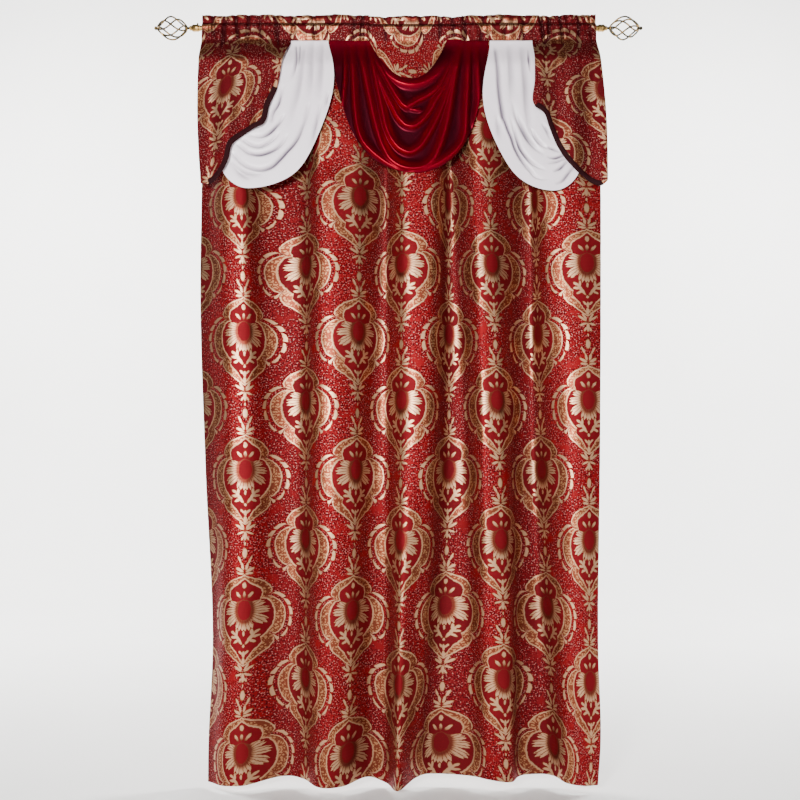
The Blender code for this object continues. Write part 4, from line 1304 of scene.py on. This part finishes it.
def antique_metal(name, colours, low, high):
    """Antique bronze paint on steel, rubbed back to brass where its wear lies over low to high: dark bronze
    elsewhere, warm worn spots."""
    material, tree = new_material(name)
    spot = add(tree, "ShaderNodeTexCoord").outputs["Object"]
    wear = add(tree, "ShaderNodeTexNoise", {"Vector": spot, "Scale": 1 / WEAR_CELL, "Detail": 4.0})
    grain = add(tree, "ShaderNodeTexNoise", {"Vector": spot, "Scale": 1 / PAINT_GRAIN})
    rubbed = add(tree, "ShaderNodeMapRange", {"Value": wear, "From Min": low, "From Max": high},
                 interpolation_type="SMOOTHSTEP")
    end_material(tree, rubbed, (*colours.bronze, 1), colours.rubbed, {
        "Metallic": 1.0,
        "Roughness": add(tree, "ShaderNodeMapRange", {"Value": rubbed, "To Min": 0.42, "To Max": 0.28}),
        "Normal": add(tree, "ShaderNodeBump", {"Strength": 0.2, "Distance": 0.2 * MM, "Height": grain}),
    })
    return material


def painted_stage():
    """Matt pale paint with a faint mottle, so the floor isn't one flat tone."""
    material, tree = new_material("matt pale stage paint")
    spot = add(tree, "ShaderNodeTexCoord").outputs["Object"]
    mottle = add(tree, "ShaderNodeTexNoise", {"Vector": spot, "Scale": 3.0})
    end_material(tree, mottle, (*linear("#F7F6F4"), 1), linear("#F2F1EF"), {"Roughness": 0.9})
    return material


def make_stage():
    """A pale floor that sweeps up into a backdrop, far enough off to look at the piece from behind."""
    sweep = [
        (SWEEP_RADIUS * math.sin(a), SWEEP_RADIUS * (1 - math.cos(a)))
        for a in (math.radians(9 * k) for k in range(11))
    ]
    profile = [(STAGE_FRONT - SWEEP_RADIUS, STAGE_TOP)] + [(STAGE_FRONT - y, z) for y, z in sweep[::-1]]
    profile += [(STAGE_BACK + y, z) for y, z in sweep] + [(STAGE_BACK + SWEEP_RADIUS, STAGE_TOP)]
    points = [(x, y, FLOOR + z) for y, z in profile for x in (-STAGE_SIDE, STAGE_SIDE)]
    faces = [(2 * k, 2 * k + 1, 2 * k + 3, 2 * k + 2) for k in range(len(profile) - 1)]
    stage = put_in_scene("stage", smooth_mesh("stage", points, faces))
    stage.data.materials.append(painted_stage())


def area_light(name, place, target, size, power):
    """A soft square light that faces a point."""
    data = bpy.data.lights.new(name, "AREA")
    data.shape = "SQUARE"
    data.size = size
    data.energy = power
    light = put_in_scene(name, data)
    light.location = place
    light.visible_camera = False
    x, y, z = (end - start for start, end in zip(place, target))
    light.rotation_euler = (math.atan2(math.hypot(x, y), -z), 0, math.atan2(-x, y))


def make_lights():
    """Soft studio light from the front, a little from the left, and an even pale surround."""
    for row in LIGHTS:
        area_light(*row)
    world = bpy.data.worlds.new("studio")
    bpy.context.scene.world = world
    world.use_nodes = True
    background = world.node_tree.nodes["Background"]
    background.inputs["Color"].default_value = (1, 1, 1, 1)
    background.inputs["Strength"].default_value = SURROUND


def make_camera():
    """The camera at the photograph's angle: low, looking a little up."""
    data = bpy.data.cameras.new("camera")
    data.sensor_width = SENSOR
    data.lens = LENS
    camera = put_in_scene("camera", data)
    camera.location = CAMERA_PLACE
    camera.rotation_euler = (CAMERA_TILT, 0, 0)
    bpy.context.scene.camera = camera


def material_once(name, maker):
    """A material made the first time that it is asked for."""
    return bpy.data.materials.get(name) or maker()


class MakePanel(bpy.types.Operator):
    """Dresses the panel in woven jacquard with its folds, pocket, header and hem"""

    bl_idname = "curtain.make_panel"
    bl_label = "Panel"

    def execute(self, context):
        colours = context.scene.curtain_colours
        material = material_once("woven damask jacquard", lambda: jacquard(colours))
        make_panel(context.scene.curtain_sizes, material)
        return {"FINISHED"}


class MakeValance(bpy.types.Operator):
    """Dresses both valance halves and binds the slanted edges of their jabots"""

    bl_idname = "curtain.make_valance"
    bl_label = "Valance and bindings"

    def execute(self, context):
        sizes, colours = context.scene.curtain_sizes, context.scene.curtain_colours
        cloth_material = material_once("woven damask jacquard", lambda: jacquard(colours))
        tape = woven_tape("woven maroon binding tape", colours.binding)
        for side_name in JABOTS:
            make_valance(side_name, sizes, cloth_material)
            make_binding(side_name, sizes, tape)
        return {"FINISHED"}


class MakeSwags(bpy.types.Operator):
    """Dresses the white swags and the burgundy one in satin"""

    bl_idname = "curtain.make_swags"
    bl_label = "Swags"

    def execute(self, context):
        sizes, colours = context.scene.curtain_sizes, context.scene.curtain_colours
        white = satin("white warp satin", colours.white, colours.white_shade, 0.38, 0.0, 0.8)
        burgundy = satin("burgundy warp satin", colours.burgundy, colours.burgundy_shade, 0.32, 0.7, 0.05)
        make_swag("swag_red", sizes, burgundy, "burgundy_satin")
        make_swag("swag_white_left", sizes, white, "white_satin")
        make_swag("swag_white_right", sizes, white, "white_satin")
        return {"FINISHED"}


class MakeFinials(bpy.types.Operator):
    """Makes both wire cage finials and finishes the rod, the collars and the set screw"""

    bl_idname = "curtain.make_finials"
    bl_label = "Finials and rod"

    def execute(self, context):
        sizes, colours = context.scene.curtain_sizes, context.scene.curtain_colours
        bronze = antique_metal("rubbed antique bronze", colours, 0.45, 0.68)
        brass = antique_metal("worn antique brass", colours, 0.15, 0.55)
        tree = wires_tree()
        make_finial("left", -1, tree, sizes, bronze)
        make_finial("right", 1, tree, sizes, bronze)
        metals = {"rod": brass, "collar_left": brass, "collar_right": brass, "set_screw": bronze}
        for node, metal in metals.items():
            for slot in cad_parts[node].material_slots:
                slot.material = metal
        return {"FINISHED"}


class MakeStitches(bpy.types.Operator):
    """Sews the rows of stitches of the header, the pocket and the hem"""

    bl_idname = "curtain.make_stitches"
    bl_label = "Stitches"

    def execute(self, context):
        thread = woven_tape("spun red sewing thread", linear("#5A0B10"))
        make_stitches(context.scene.curtain_sizes, thread)
        return {"FINISHED"}


class MakeStage(bpy.types.Operator):
    """Sets the pale stage, the soft lights and the camera"""

    bl_idname = "curtain.make_stage"
    bl_label = "Stage"

    def execute(self, context):
        make_stage()
        make_lights()
        make_camera()
        return {"FINISHED"}


class CurtainSidebar(bpy.types.Panel):
    """Sizes, colours and makers of the curtain"""

    bl_idname = "VIEW3D_PT_curtain"
    bl_label = "Curtain"
    bl_space_type = "VIEW_3D"
    bl_region_type = "UI"
    bl_category = "Curtain"

    def draw(self, context):
        for group in (context.scene.curtain_sizes, context.scene.curtain_colours):
            box = self.layout.box()
            for name in group.__annotations__:
                box.prop(group, name)
        for maker in MAKERS:
            self.layout.operator(maker.bl_idname)


MAKERS = (MakePanel, MakeValance, MakeSwags, MakeFinials, MakeStitches, MakeStage)
CLASSES = (CurtainSizes, CurtainColours, *MAKERS, CurtainSidebar)


def register():
    """Registers the classes and their settings on the scene."""
    for item in CLASSES:
        bpy.utils.register_class(item)
    bpy.types.Scene.curtain_sizes = bpy.props.PointerProperty(type=CurtainSizes)
    bpy.types.Scene.curtain_colours = bpy.props.PointerProperty(type=CurtainColours)


def unregister():
    """Takes the settings and the classes away again."""
    del bpy.types.Scene.curtain_colours
    del bpy.types.Scene.curtain_sizes
    for item in reversed(CLASSES):
        bpy.utils.unregister_class(item)


def main():
    """Makes every part in order."""
    register()
    bpy.ops.curtain.make_panel()
    bpy.ops.curtain.make_valance()
    bpy.ops.curtain.make_swags()
    bpy.ops.curtain.make_finials()
    bpy.ops.curtain.make_stitches()
    bpy.ops.curtain.make_stage()


if __name__ == "__main__":
    main()
